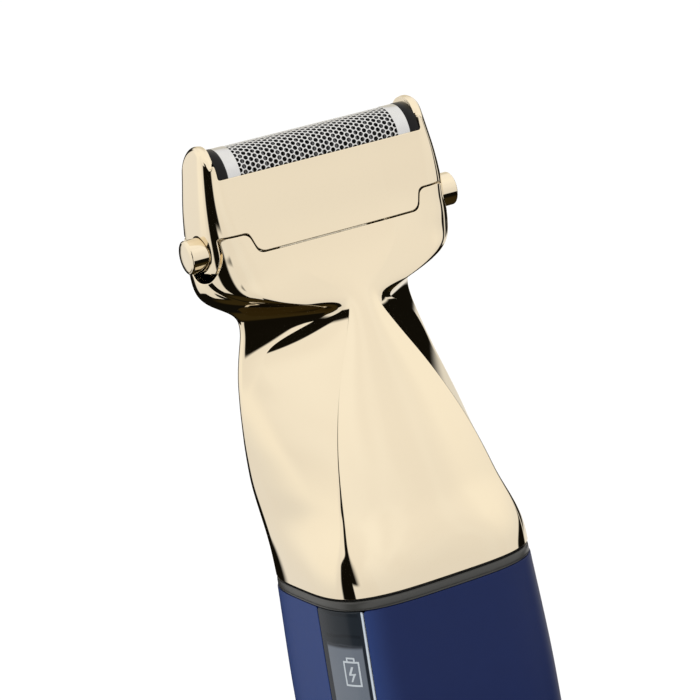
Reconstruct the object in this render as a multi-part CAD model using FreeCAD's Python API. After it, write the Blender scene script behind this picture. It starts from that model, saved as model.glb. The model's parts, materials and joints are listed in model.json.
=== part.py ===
import FreeCAD, Part
import math
import os

# Cordless foil shaver: a rounded-square grip, a sculpted plated neck that leans back from the
# grip, and a single-foil cutting head with a lift-off foil cassette.
# Millimetres. +Z runs from the base to the foil, -Y is the front, +X is the user's right.
# The origin is the middle of the flat base.

Vector = FreeCAD.Vector
X_AXIS, Y_AXIS, Z_AXIS = Vector(1, 0, 0), Vector(0, 1, 0), Vector(0, 0, 1)
SIDES = (-1, 1)             # left, right
FAR = 40.0                  # reaches past every outer face

# Driving dimensions. Names ending in _UP are heights above the joint of grip and neck.
JOINT_Z = 106.0
GRIP_HALF_X = 17.6          # grip at the joint
GRIP_HALF_Y = 16.25
GRIP_POWER = 3.7            # squareness of the grip's section
SLEEVE_WALL = 1.2
SLEEVE_BASE, SLEEVE_TOP = 4.0, JOINT_Z - 1.85
CHASSIS_TOP = JOINT_Z - 7.2

HEAD_Y = 6.1                # middle plane of the cutting head
FOIL_R = 4.35               # outer radius of the arched foil
FOIL_UP = 62.8              # centre of the foil's arch
FOIL_FOOT_UP = 58.8
FOIL_SHEET = 0.12
FOIL_HALF_X = 15.86
EAR_INNER_X = 17.1          # inner face of the cassette's end ears
EAR_R = 4.3                 # rounded lower end of each ear
SEAM_HIGH_UP, SEAM_LOW_UP = 54.6, 51.5      # seam beside the tab and under it
TAB_TOP_HALF, TAB_FOOT_HALF = 14.5, 13.5    # half widths of the tab
SEAM_GAP = 0.14             # between neck and cassette
RELEASE_UP = 52.3           # release button axis
RELEASE_R = 2.6
RELEASE_FACE_X = 22.9

TRAY_UP = 46.4              # underside of the tray's flange
TRAY_HALF_X, TRAY_STEM_HALF_X = 18.1, 14.0
TRAY_FRONT_Y, TRAY_BACK_Y = 2.2, 10.2
CUTTER_SPRING_X = 9.0
BLADE_COUNT = 24
BLADE_SPAN = 27.2           # first blade to last
BLADE_XS = [-BLADE_SPAN / 2 + BLADE_SPAN * i / (BLADE_COUNT - 1) for i in range(BLADE_COUNT)]

PIVOT_UP = 17.0             # lever pivot
PIVOT_PIN_R = 1.0
BUSH_R = 1.75
ECCENTRIC_THROW = 0.4
ECCENTRIC_PIN_R = 0.75
MOTOR_BASE, MOTOR_TOP = 72.0, 96.0
SHAFT_R = 1.0
CELL_X, CELL_Y = 3.2, 1.2   # battery axis

THREAD_R = 0.86             # screw threads and their pilot holes
NECK_SCREW_X, NECK_SCREW_Y = 11.3, 7.2
BASE_SCREW_X, BASE_SCREW_Y = 10.2, 4.5
BRACKET_SCREW_X = 6.4
MOTOR_SCREW_X = 7.6

# Display strip on the grip's left front corner
STRIP_OUT_X, STRIP_OUT_Y = -0.917, -0.399   # outward direction
STRIP_MID = 2.25            # middle of the strip along its width direction
STRIP_HALF = 4.75
STRIP_LOW_Z = 34.0
STRIP_SURFACE = 20.14       # outward distance of the surface near the power button
POWER_Z = 58.0
POWER_HALF = 4.0            # half the straight length of the power button

# Neck and head section. Each table holds (height above the joint, value).
FRONT_Y = [
    (0, -16.2), (5, -15.4), (10, -14.2), (15, -12.75), (20, -11.1), (25, -9.3), (30, -7.5),
    (35, -5.8), (40, -4.1), (45, -2.3), (50, -0.75), (54, 0.1), (59, 0.72), (63, 1.22), (69, 1.6)]
BACK_Y = [
    (0, 16.2), (8, 15.6), (14, 14.6), (20, 13.4), (25, 12.6), (30, 12.4), (35, 12.3), (38, 12.0),
    (41, 11.9), (46, 12.1), (54, 12.05), (63, 10.98), (69, 10.6)]
# Front crease: half width, depth and corner radius
CREASE_X = [
    (0, 15.6), (2, 15.2), (5, 14.6), (10, 13.7), (15, 12.6), (20, 11.3), (25, 9.6), (30, 7.5),
    (35, 5.0), (38, 3.5), (40, 2.6), (41.5, 2.1), (43, 2.6), (45, 5.0), (48, 8.0), (52, 9.0),
    (69, 9.0)]
CREASE_Y = [
    (0, -12.2), (2, -12.0), (5, -11.6), (10, -10.9), (15, -9.85), (20, -8.6), (25, -7.25),
    (30, -5.9), (35, -4.7), (38, -4.05), (40, -3.65), (41.5, -3.3), (43, -2.85), (45, -2.25),
    (48, -1.35), (52, -0.3), (54, 0.13), (59, 0.75), (63, 1.25), (69, 1.63)]
CREASE_R = [
    (0, 3.6), (3, 2.8), (6, 2.0), (10, 1.4), (15, 0.9), (20, 0.55), (25, 0.35), (30, 0.25),
    (41, 0.25), (45, 0.8), (69, 1.0)]
# Side bend: the side facet low down, the valley under the head, then the head's front corner
BEND_X = [
    (0, 17.3), (5, 16.9), (10, 16.5), (15, 16.9), (20, 16.8), (25, 16.1), (28, 15.4), (30, 14.9),
    (32, 14.3), (33.5, 13.8), (35, 13.1), (36, 12.3), (37, 10.9), (38, 9.2), (39, 7.3), (40, 5.3),
    (40.8, 3.9), (41.4, 4.2), (42, 7.4), (43, 12.2), (44, 15.2), (45, 17.5), (46, 18.8),
    (47, 19.7), (48, 20.2), (50, 20.5), (54, 20.45), (59, 20.0), (63, 19.4), (66, 18.9),
    (69, 18.3)]
BEND_Y = [
    (0, -3.0), (5, -1.2), (10, 0.2), (15, 1.6), (20, 3.3), (25, 4.9), (28, 5.7), (30, 6.1),
    (32, 6.5), (33.5, 6.8), (35, 6.6), (36, 5.8), (37, 4.2), (38, 2.3), (39, 0.3), (40, -1.5),
    (40.8, -2.6), (41.4, -2.9), (42, -2.5), (43, -1.9), (44, -1.45), (45, -1.05), (46, -0.7),
    (47, -0.35), (48, -0.1), (50, 0.0), (54, 0.45), (59, 1.05), (63, 1.5), (69, 1.9)]
BEND_R = [
    (0, 60), (28, 60), (31, 20), (33, 8), (34.5, 3.0), (36, 1.2), (38, 0.5), (40, 0.25),
    (41, 0.3), (42, 0.9), (43, 2.0), (45, 4.5), (47, 7.0), (50, 6.5), (54.6, 4.5), (62, 3.0),
    (69, 2.5)]
# Outward bow of the side from the bend to the rear corner
SIDE_BOW = [
    (0, 0.0), (41, 0.0), (43, 1.0), (44, 1.3), (45, 1.2), (46, 0.9), (48, 0.3), (50, 0.1),
    (69, 0.0)]
REAR_X = [
    (0, 17.5), (10, 17.5), (20, 17.7), (25, 17.8), (30, 17.4), (35, 16.6), (38, 16.2), (41, 17.0),
    (42.5, 19.0), (44, 20.5), (46, 21.1), (50, 20.9), (54, 20.45), (59, 20.0), (63, 19.4),
    (66, 18.9), (69, 18.3)]
REAR_R = [
    (0, 9.0), (5, 7.5), (10, 5.5), (16, 3.6), (25, 2.4), (34, 1.6), (41, 1.8), (46, 2.0),
    (54, 1.4), (69, 1.2)]
BACK_CROWN = 0.25           # the back bulges this far at its middle
BLEND_HEIGHT = 12.0         # the neck merges into the grip's outline below this
SMOOTH_SIGMA = 0.9          # sections are blended along the height with this spread
SMOOTH_STEP = 0.45

# (height above the base, scale of the grip's section)
GRIP_SWELL = [(0, 0.90), (3, 0.945), (12, 0.972), (30, 1.01), (55, 1.042), (84, 1.04), (106, 1.0)]
# (half width, front y, back y, corner radius, height above the joint)
NECK_CAVITY = [
    (12.6, -9.6, 12.8, 3.0, -1.0),
    (10.6, -6.6, 12.2, 2.5, 14.0),
    (7.4, -3.0, 11.4, 2.2, 27.0),
    (6.6, 1.6, 10.6, 2.0, 37.0),
    (7.6, 2.0, 10.4, 2.0, 44.0)]


# Basic shapes

def above(z):
    """Height above the base of a height above the joint."""
    return JOINT_Z + z


def box(x0, x1, y0, y1, z0, z1):
    return Part.makeBox(x1 - x0, y1 - y0, z1 - z0, Vector(x0, y0, z0))


def block(half_x, half_y, z0, z1, x=0.0, y=0.0):
    """Box centred on x, y."""
    return box(x - half_x, x + half_x, y - half_y, y + half_y, z0, z1)


def side_span(side, near, far):
    """Ordered x limits on one side."""
    return sorted((side * near, side * far))


def cylinder(radius, height, x, y, z, axis=Z_AXIS):
    return Part.makeCylinder(radius, height, Vector(x, y, z), axis)


def tube(outer, inner, height, x, y, z, axis=Z_AXIS):
    start = Vector(x, y, z)
    bore = Part.makeCylinder(inner, height + 2, start - axis, axis)
    return Part.makeCylinder(outer, height, start, axis).cut(bore)


def pair(make):
    """Compound of a part made for the left and for the right side."""
    return Part.makeCompound([make(side) for side in SIDES])


def rounded_rect(half_x, y0, y1, r, z):
    x0, x1 = -half_x, half_x
    ends = [Vector(x, y, z) for x, y in (
        (x0 + r, y0), (x1 - r, y0), (x1, y0 + r), (x1, y1 - r),
        (x1 - r, y1), (x0 + r, y1), (x0, y1 - r), (x0, y0 + r))]
    inset = r * (1 - math.sqrt(0.5))
    middles = [Vector(x, y, z) for x, y in (
        (x1 - inset, y0 + inset), (x1 - inset, y1 - inset),
        (x0 + inset, y1 - inset), (x0 + inset, y0 + inset))]
    edges = []
    for i in range(4):
        edges.append(Part.makeLine(ends[2 * i], ends[2 * i + 1]))
        edges.append(Part.Arc(ends[2 * i + 1], middles[i], ends[(2 * i + 2) % 8]).toShape())
    return Part.Wire(edges)


def rounded_block(half_x, y0, y1, r, z0, z1):
    return Part.Face(rounded_rect(half_x, y0, y1, r, z0)).extrude(Vector(0, 0, z1 - z0))


def obround(half_x, r, z0, z1):
    return rounded_block(half_x, -r, r, r * 0.999, z0, z1)


def yz_prism(points, x0, x1):
    """Prism over a YZ outline of (y, z) or ("arc", (y, z) through, (y, z) end)."""
    start = current = Vector(x0, *points[0])
    edges = []
    for point in points[1:]:
        if point[0] == "arc":
            end = Vector(x0, *point[2])
            edges.append(Part.Arc(current, Vector(x0, *point[1]), end).toShape())
        else:
            end = Vector(x0, *point)
            edges.append(Part.makeLine(current, end))
        current = end
    if (current - start).Length > 1e-6:
        edges.append(Part.makeLine(current, start))
    return Part.Face(Part.Wire(edges)).extrude(Vector(x1 - x0, 0, 0))


# Sections and skins

def interpolate(table, z):
    """Monotone cubic through (z, value) pairs."""
    n = len(table)
    if z <= table[0][0]:
        return table[0][1]
    if z >= table[-1][0]:
        return table[-1][1]
    steps = [table[i + 1][0] - table[i][0] for i in range(n - 1)]
    slopes = [(table[i + 1][1] - table[i][1]) / steps[i] for i in range(n - 1)]
    tangents = [slopes[0]] + [0.0] * (n - 2) + [slopes[-1]]
    for i in range(1, n - 1):
        if slopes[i - 1] * slopes[i] > 0:
            w1 = 2 * steps[i] + steps[i - 1]
            w2 = steps[i] + 2 * steps[i - 1]
            tangents[i] = (w1 + w2) / (w1 / slopes[i - 1] + w2 / slopes[i])
    i = 0
    while z > table[i + 1][0]:
        i += 1
    t = (z - table[i][0]) / steps[i]
    return ((2 * t**3 - 3 * t**2 + 1) * table[i][1]
            + (t**3 - 2 * t**2 + t) * steps[i] * tangents[i]
            + (-2 * t**3 + 3 * t**2) * table[i + 1][1]
            + (t**3 - t**2) * steps[i] * tangents[i + 1])


def fillet_points(before, vertex, after, radius, count):
    """Points along the fillet at vertex, from the side of before to the side of after."""
    vx, vy = vertex
    ax, ay = before[0] - vx, before[1] - vy
    bx, by = after[0] - vx, after[1] - vy
    a_length, b_length = math.hypot(ax, ay), math.hypot(bx, by)
    ax, ay, bx, by = ax / a_length, ay / a_length, bx / b_length, by / b_length
    angle = math.acos(max(-1.0, min(1.0, ax * bx + ay * by)))
    longest = min(0.47 * a_length, 0.47 * b_length)
    last = count - 1
    if angle > math.pi - 2e-2:      # nearly straight: points along the two sides
        setback = min(radius * 0.3, longest)
        points = []
        for i in range(count):
            dx, dy = (ax, ay) if i < last / 2 else (bx, by)
            reach = setback * abs(1 - 2 * i / last)
            points.append((vx + dx * reach, vy + dy * reach))
        return points
    setback = min(radius / math.tan(angle / 2), longest)
    radius = setback * math.tan(angle / 2)
    mid_x, mid_y = ax + bx, ay + by
    mid_length = math.hypot(mid_x, mid_y)
    reach = radius / math.sin(angle / 2)
    cx, cy = vx + mid_x / mid_length * reach, vy + mid_y / mid_length * reach
    start = math.atan2(vy + ay * setback - cy, vx + ax * setback - cx)
    end = math.atan2(vy + by * setback - cy, vx + bx * setback - cx)
    turn = (end - start + math.pi) % (2 * math.pi) - math.pi
    return [(cx + radius * math.cos(start + turn * i / last),
             cy + radius * math.sin(start + turn * i / last)) for i in range(count)]


def side_points(start, end, bow):
    """Points between two corners, bowed outward."""
    dx, dy = end[0] - start[0], end[1] - start[1]
    length = math.hypot(dx, dy)
    points = []
    for f in (0.12, 0.35, 0.65, 0.88):
        offset = bow * 4 * f * (1 - f)
        points.append((start[0] + dx * f + dy / length * offset,
                       start[1] + dy * f - dx / length * offset))
    return points


def superellipse_radius(half_x, half_y, cos, sin):
    total = abs(cos / half_x) ** GRIP_POWER + abs(sin / half_y) ** GRIP_POWER
    return total ** (-1.0 / GRIP_POWER)


def raw_section(z):
    """Closed outline z above the joint, from the front middle by +X to the back and round."""
    front_y, back_y = interpolate(FRONT_Y, z), interpolate(BACK_Y, z)
    crease = (interpolate(CREASE_X, z), max(interpolate(CREASE_Y, z), front_y + 0.02))
    bend = (interpolate(BEND_X, z), interpolate(BEND_Y, z))
    rear = (interpolate(REAR_X, z), back_y)
    back_middle = (0.0, back_y + BACK_CROWN)
    bulge = front_y - crease[1]
    # The front is a parabola from the middle to the crease; its end slope leads into the corner
    lead_in = (crease[0] * 0.6, crease[1] + bulge * 0.64)
    crease_arc = fillet_points(lead_in, crease, bend, interpolate(CREASE_R, z), 6)
    bend_arc = fillet_points(crease, bend, rear, interpolate(BEND_R, z), 9)
    rear_arc = fillet_points(bend, rear, back_middle, interpolate(REAR_R, z), 7)
    half = []
    for i in range(6):
        x = crease_arc[0][0] * i / 6
        half.append((x, crease[1] + bulge * (1 - (x / crease[0]) ** 2)))
    half += crease_arc
    half += side_points(crease_arc[-1], bend_arc[0], 0.0)
    half += bend_arc
    half += side_points(bend_arc[-1], rear_arc[0], interpolate(SIDE_BOW, z))
    half += rear_arc
    end_x, end_y = rear_arc[-1]
    for i in range(1, 5):
        x = end_x * (1 - i / 5.0)
        half.append((x, end_y + (back_middle[1] - end_y) * (1 - (x / end_x) ** 2)))
    half.append(back_middle)
    points = half + [(-x, y) for x, y in reversed(half[1:-1])]
    # The lowest part takes the outline of the grip
    weight = max(0.0, min(1.0, 1 - z / BLEND_HEIGHT))
    weight = weight * weight * (3 - 2 * weight)
    if weight > 0:
        grown = []
        for x, y in points:
            r = math.hypot(x, y)
            target = superellipse_radius(GRIP_HALF_X, GRIP_HALF_Y, x / r, y / r)
            scale = 1 + (target / r - 1) * weight
            grown.append((x * scale, y * scale))
        points = grown
    return points


_sections = {}


def cached_section(z):
    if z not in _sections:
        _sections[z] = raw_section(z)
    return _sections[z]


def neck_section(z):
    """Outline z above the joint, blended with its neighbours so the skin has no ripple."""
    sums = [(0.0, 0.0)] * len(cached_section(0.0))
    total = 0.0
    for i in range(-6, 7):
        offset = i * SMOOTH_STEP
        weight = math.exp(-0.5 * (offset / SMOOTH_SIGMA) ** 2)
        points = cached_section(round(abs(z + offset), 4))
        if z + offset < 0:           # mirrored through the joint's section
            points = [(2 * base[0] - p[0], 2 * base[1] - p[1])
                      for base, p in zip(cached_section(0.0), points)]
        sums = [(s[0] + weight * p[0], s[1] + weight * p[1]) for s, p in zip(sums, points)]
        total += weight
    return [(x / total, y / total) for x, y in sums]


def grip_section(z, inset):
    """Superellipse z above the base."""
    scale = interpolate(GRIP_SWELL, z)
    half_x, half_y = GRIP_HALF_X * scale - inset, GRIP_HALF_Y * scale - inset
    count = 64
    points = []
    for i in range(count):
        angle = 2 * math.pi * i / count - math.pi / 2
        cos, sin = math.cos(angle), math.sin(angle)
        r = superellipse_radius(half_x, half_y, cos, sin)
        points.append((r * cos, r * sin))
    return points


def skin_solid(rows):
    """Solid bounded by a smooth bicubic skin over rows of (points, z), with flat ends."""
    around, rising = len(rows[0][0]), len(rows)
    poles = [[Vector(points[i][0], points[i][1], z) for points, z in rows]
             for i in range(around)]
    surface = Part.BSplineSurface()
    surface.buildFromPolesMultsKnots(
        poles, [1] * (around + 1), [4] + [1] * (rising - 4) + [4],
        [float(i) for i in range(around + 1)], [float(j) for j in range(rising - 2)],
        True, False, 3, 3)
    side = surface.toShape()
    ends = [Part.Face(Part.Wire([edge])) for edge in side.Edges
            if edge.isClosed() and edge.BoundBox.ZLength < 1e-4]
    shell = Part.makeShell([side] + ends)
    shell.sewShape()
    solid = Part.Solid(shell)
    if solid.Volume < 0:
        solid.reverse()
    return solid


def even_heights(z0, z1, step):
    count = max(3, int(round((z1 - z0) / step)))
    return [z0 + (z1 - z0) * i / count for i in range(count + 1)]


def grip_solid(z0, z1, inset, step=6.0):
    return skin_solid([(grip_section(z, inset), z) for z in even_heights(z0, z1, step)])


def neck_solid(heights):
    return skin_solid([(neck_section(z), above(z)) for z in heights])


# Shapes on the strip's axes: outward distance from inner to outer, width across the strip

def strip_point(across, outward, z):
    """Point on the strip's axes; across grows towards the front."""
    return Vector(STRIP_OUT_X * outward - STRIP_OUT_Y * across,
                  STRIP_OUT_Y * outward + STRIP_OUT_X * across, z)


def strip_box(half, inner, outer, z0, z1, middle=STRIP_MID):
    low, high = middle - half, middle + half
    corners = [strip_point(across, outward, z0) for across, outward in (
        (low, inner), (high, inner), (high, outer), (low, outer), (low, inner))]
    return Part.Face(Part.makePolygon(corners)).extrude(Vector(0, 0, z1 - z0))


def strip_cylinder(z, radius, inner, outer):
    return Part.makeCylinder(radius, outer - inner, strip_point(STRIP_MID, inner, z),
                             Vector(STRIP_OUT_X, STRIP_OUT_Y, 0))


def power_pill(radius, inner, outer):
    """Upright pill at the power button."""
    low, high = POWER_Z - POWER_HALF, POWER_Z + POWER_HALF
    pill = strip_cylinder(low, radius, inner, outer)
    pill = pill.fuse(strip_cylinder(high, radius, inner, outer))
    return pill.fuse(strip_box(radius, inner, outer, low, high)).removeSplitter()


def strip_space(gap, top):
    """Round-ended bar over the strip, shrunk by gap."""
    foot = STRIP_LOW_Z + STRIP_HALF
    bar = strip_box(STRIP_HALF - gap, 9, 30, foot, top)
    return bar.fuse(strip_cylinder(foot, STRIP_HALF - gap, 9, 30))


# Neck and foil cassette

def seam_space(gap, top):
    """Space above the seam, grown downwards by gap: tab front and back, ear notch each side."""
    low, high = above(SEAM_LOW_UP) - gap, above(SEAM_HIGH_UP) - gap
    upper, lower = TAB_TOP_HALF + gap, TAB_FOOT_HALF + gap
    front, back = -30, FAR
    outline = [Vector(x, front, z) for x, z in (
        (-FAR, high), (-upper, high), (-lower, low), (lower, low), (upper, high), (FAR, high),
        (FAR, top), (-FAR, top), (-FAR, high))]
    space = Part.Face(Part.makePolygon(outline)).extrude(Vector(0, back - front, 0))
    tab_x = (TAB_TOP_HALF + TAB_FOOT_HALF) / 2
    edges = [e for e in space.Edges
             if e.BoundBox.YLength > 60 and e.BoundBox.XLength < 1e-3
             and abs(abs(e.CenterOfMass.x) - tab_x) < 1.2]
    try:
        space = space.makeFillet(0.55, edges)
    except Exception:
        pass    # guards the fillet of the tab's corners; they stay sharp if it fails
    r = EAR_R + gap
    middle = above(RELEASE_UP)
    ear = yz_prism([(HEAD_Y - r, top), (HEAD_Y - r, middle),
                    ("arc", (HEAD_Y, middle - r), (HEAD_Y + r, middle)),
                    (HEAD_Y + r, top)], -FAR, FAR)
    return space.fuse(ear.cut(box(-18.2, 18.2, front, back, 0, 500)))


def neck_housing():
    body = neck_solid(even_heights(0.0, 30.0, 2.0) + even_heights(30.0, 48.0, 0.9)[1:]
                      + even_heights(48.0, 57.0, 1.5)[1:])
    cavity = Part.makeLoft([rounded_rect(half_x, y0, y1, r, above(z))
                            for half_x, y0, y1, r, z in NECK_CAVITY], True, True)
    side_gap, end_gap = 0.2, 0.1    # round the cutter tray
    front, back = TRAY_FRONT_Y - end_gap, TRAY_BACK_Y + end_gap
    tray_space = rounded_block(TRAY_HALF_X + side_gap, front, back, 1.0,
                               above(TRAY_UP), above(60.0))
    tray_space = tray_space.fuse(rounded_block(TRAY_STEM_HALF_X + side_gap, front, back, 1.0,
                                               above(43.8), above(TRAY_UP + 0.1)))
    neck = body.cut(cavity.fuse(tray_space)).cut(seam_space(SEAM_GAP, above(70)))
    for side in SIDES:
        boss = cylinder(2.3, 9.4, side * NECK_SCREW_X, NECK_SCREW_Y, above(0))
        neck = neck.fuse(boss.common(body))
    for side in SIDES:
        neck = neck.cut(cylinder(THREAD_R, 8.6, side * NECK_SCREW_X, NECK_SCREW_Y, above(-0.5)))
    # Groove for the collar's rim, left solid round the bosses
    groove = grip_solid(above(-2.0), above(4.2), 1.75, 1.5)
    groove = groove.cut(grip_solid(above(-3.0), above(6), 3.05, 2.0))
    for side in (1, -1):
        groove = groove.cut(cylinder(2.45, 20, side * NECK_SCREW_X, NECK_SCREW_Y, above(-8)))
    return neck.cut(groove)


def foil_frame():
    frame = neck_solid(even_heights(46.5, 72.0, 1.5)).common(seam_space(0.0, above(80)))
    # The ears rise in a rounded arch; the front and back walls stop lower
    half_y, rise = 4.95, 5.6
    front, back, foot, spring = HEAD_Y - half_y, HEAD_Y + half_y, above(40), above(FOIL_UP)
    angles = [math.pi * (1 - i / 24.0) for i in range(25)]
    crown = Part.BSplineCurve()
    crown.interpolate([Vector(-FAR, HEAD_Y + half_y * math.cos(a), spring + rise * math.sin(a))
                       for a in angles])
    outline = Part.Wire([
        Part.makeLine(Vector(-FAR, front, foot), Vector(-FAR, front, spring)),
        crown.toShape(),
        Part.makeLine(Vector(-FAR, back, spring), Vector(-FAR, back, foot)),
        Part.makeLine(Vector(-FAR, back, foot), Vector(-FAR, front, foot))])
    ear_arch = Part.Face(outline).extrude(Vector(2 * FAR, 0, 0))
    frame = frame.common(ear_arch.fuse(box(-FAR, FAR, -30, 50, above(30), spring + 0.6)))
    # Clears the cutter and the foil; above the walls only the ears remain
    opening = block(EAR_INNER_X, FOIL_R + 0.09, above(30), spring + 0.5, y=HEAD_Y)
    opening = opening.fuse(box(-EAR_INNER_X, EAR_INNER_X, -20, 40, spring + 0.2, above(80)))
    frame = frame.cut(opening)
    for side in SIDES:      # stepped button bores through the ears
        frame = frame.cut(cylinder(RELEASE_R + 0.06, 12, side * 19.6, HEAD_Y,
                                   above(RELEASE_UP), Vector(side, 0, 0)))
        frame = frame.cut(cylinder(RELEASE_R + 0.5, 3.0, side * 19.65, HEAD_Y,
                                   above(RELEASE_UP), Vector(-side, 0, 0)))
    return frame


def foil_outline(crown_gap):
    """Outside of the arch from front foot to back foot, its crown raised by crown_gap."""
    front, back = HEAD_Y - FOIL_R, HEAD_Y + FOIL_R
    foot, spring = above(FOIL_FOOT_UP), above(FOIL_UP)
    return [(front, foot), (front, spring),
            ("arc", (HEAD_Y, spring + FOIL_R + crown_gap), (back, spring)), (back, foot)]


def foil_screen():
    r = FOIL_R - FOIL_SHEET
    foot, spring = above(FOIL_FOOT_UP), above(FOIL_UP)
    inside = [(HEAD_Y + r, foot), (HEAD_Y + r, spring),
              ("arc", (HEAD_Y, spring + r), (HEAD_Y - r, spring)), (HEAD_Y - r, foot)]
    return yz_prism(foil_outline(0.0) + inside, -FOIL_HALF_X, FOIL_HALF_X)


def foil_end_caps():
    return pair(lambda side: yz_prism(foil_outline(0.08), side * (FOIL_HALF_X + 0.04),
                                      side * (EAR_INNER_X - 0.03)))


def release_button(side):
    """Headed plunger through an ear."""
    inner_x = 18.95
    outward = Vector(side, 0, 0)
    button = cylinder(RELEASE_R, RELEASE_FACE_X - inner_x, side * inner_x, HEAD_Y,
                      above(RELEASE_UP), outward)
    rim = [e for e in button.Edges if abs(abs(e.CenterOfMass.x) - RELEASE_FACE_X) < 0.01]
    button = button.makeFillet(0.28, rim)
    flange = cylinder(RELEASE_R + 0.35, 0.5, side * 19.05, HEAD_Y, above(RELEASE_UP), outward)
    return button.fuse(flange).removeSplitter()


def latch_spring(side):
    """Leaf on the cutter tray, with the nub that locks the ear."""
    outer_x = 17.87
    leaf = box(17.62, outer_x, HEAD_Y - 1.9, HEAD_Y + 1.9, above(TRAY_UP + 0.02), above(54.4))
    nub = cylinder(1.7, 0.9, outer_x, HEAD_Y, above(RELEASE_UP), X_AXIS)
    leaf = leaf.fuse(nub).removeSplitter()
    return leaf.mirror(Vector(0, 0, 0), X_AXIS) if side < 0 else leaf


# Cutter

def cutter_tray():
    tray = rounded_block(TRAY_HALF_X, TRAY_FRONT_Y, TRAY_BACK_Y, 0.9,
                         above(TRAY_UP), above(47.0))
    tray = tray.fuse(rounded_block(TRAY_STEM_HALF_X, TRAY_FRONT_Y, TRAY_BACK_Y, 0.9,
                                   above(44.4), above(TRAY_UP + 0.1)))
    tray = tray.cut(rounded_block(2.6, 3.4, 8.9, 0.8, above(40), above(50)))
    # Hooked clip: (distance from the head's middle plane, height above the joint)
    clip = [(3.75, 46.9), (2.8, 46.9), (2.8, 50.5), (2.25, 50.5), (2.8, 51.15), (3.75, 51.15)]
    for side in SIDES:
        for facing in (-1, 1):      # front, back
            outline = [(HEAD_Y + facing * y, above(z)) for y, z in clip]
            tray = tray.fuse(yz_prism(outline, *side_span(side, 7.5, 11.5)))
        x0, x1 = side_span(side, 17.56, 17.93)      # slot for the latch spring
        tray = tray.cut(box(x0, x1, HEAD_Y - 1.95, HEAD_Y + 1.95, above(TRAY_UP), above(56)))
    return tray.removeSplitter()


def cutter_carrier():
    """Slides along X on the tray."""
    carrier = block(13.2, 2.7, above(47.1), above(50.4), y=HEAD_Y)
    carrier = carrier.cut(block(1.32, 1.5, above(46), above(49.6), y=HEAD_Y))
    for side in SIDES:      # spring pocket with its guide post
        x = side * CUTTER_SPRING_X
        carrier = carrier.cut(cylinder(2.05, 2.0, x, HEAD_Y, above(48.6)))
        carrier = carrier.fuse(cylinder(0.8, 9.1, x, HEAD_Y, above(48.5)))
    return carrier.removeSplitter()


def cutter_springs():
    pitch, height, coil_r, wire_r = 0.95, 7.6, 1.45, 0.19

    def spring(side):
        x, z = side * CUTTER_SPRING_X, above(48.8)
        helix = Part.makeHelix(pitch, height, coil_r)
        helix.translate(Vector(x, HEAD_Y, z))
        circle = Part.makeCircle(wire_r, Vector(x + coil_r, HEAD_Y, z), Vector(0, 1, 0.1))
        return Part.Wire(helix.Edges).makePipeShell([Part.Wire([circle])], True, True)
    return pair(spring)


def blade_holder():
    holder = block(14.0, 2.6, above(56.6), above(59.9), y=HEAD_Y)
    for side in SIDES:
        holder = holder.cut(cylinder(1.15, 3.0, side * CUTTER_SPRING_X, HEAD_Y, above(55.5)))
    slots = [block(0.14, 1.61, above(58.58), above(60.2), x, HEAD_Y) for x in BLADE_XS]
    return holder.cut(Part.makeCompound(slots))


def inner_blades():
    half_thickness = 0.13
    shoulder, foot, spring = above(60.4), above(58.6), above(FOIL_UP)
    tip_y = FOIL_R - 0.2
    outline = [
        (HEAD_Y - 4.0, shoulder), (HEAD_Y - tip_y, spring),
        ("arc", (HEAD_Y, spring + FOIL_R - 0.17), (HEAD_Y + tip_y, spring)),
        (HEAD_Y + 4.0, shoulder), (HEAD_Y + 1.6, shoulder), (HEAD_Y + 1.6, foot),
        (HEAD_Y - 1.6, foot), (HEAD_Y - 1.6, shoulder)]
    blades = []
    for x in BLADE_XS:
        blade = yz_prism(outline, x - half_thickness, x + half_thickness)
        blades.append(blade.cut(cylinder(2.3, 2, x - 1, HEAD_Y, spring + 0.1, X_AXIS)))
    return Part.makeCompound(blades)


# Drive lever

def drive_lever():
    fork = block(3.3, 1.6, above(4.2), above(12.0)).cut(block(1.7, 3, above(0), above(10.4)))
    shank = block(2.0, 1.6, above(11.5), above(15.5))
    hub = cylinder(3.2, 4.0, 0, -2.0, above(PIVOT_UP), Y_AXIS)
    arm = yz_prism([(-1.6, above(18.0)), (1.6, above(18.0)), (7.5, above(41.0)),
                    (7.5, above(49.2)), (4.7, above(49.2)), (4.7, above(41.5))], -1.15, 1.15)
    lever = fork.fuse(shank).fuse(hub).fuse(arm)
    return lever.cut(cylinder(BUSH_R, 10, 0, -5, above(PIVOT_UP), Y_AXIS)).removeSplitter()


def lever_bush():
    return tube(BUSH_R, PIVOT_PIN_R + 0.05, 4.0, 0, -2.0, above(PIVOT_UP), Y_AXIS)


def lever_pin():
    return cylinder(PIVOT_PIN_R, 9.0, 0, -4.5, above(PIVOT_UP), Y_AXIS)


def lever_bracket():
    half_x, inner_y, outer_y = 3.4, 2.4, 4.3

    def cheek(y0, y1):
        plate = box(-half_x, half_x, y0, y1, above(-2.3), above(PIVOT_UP))
        return plate.fuse(cylinder(half_x, y1 - y0, 0, y0, above(PIVOT_UP), Y_AXIS))
    bracket = cheek(-outer_y, -inner_y).fuse(cheek(inner_y, outer_y))
    bracket = bracket.fuse(block(8.0, outer_y, above(-2.35), above(-0.8)))
    # Round clearance through the foot and the lowest part of the cheeks
    clearance = cylinder(4.6, 20, 0, 0, above(-5)).cut(block(9, 9, above(-0.5), above(30)))
    bracket = bracket.cut(clearance)
    bracket = bracket.cut(cylinder(PIVOT_PIN_R, 20, 0, -10, above(PIVOT_UP), Y_AXIS))
    for side in SIDES:
        bracket = bracket.cut(cylinder(1.1, 8, side * BRACKET_SCREW_X, 0, above(-4)))
    return bracket.removeSplitter()


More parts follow.
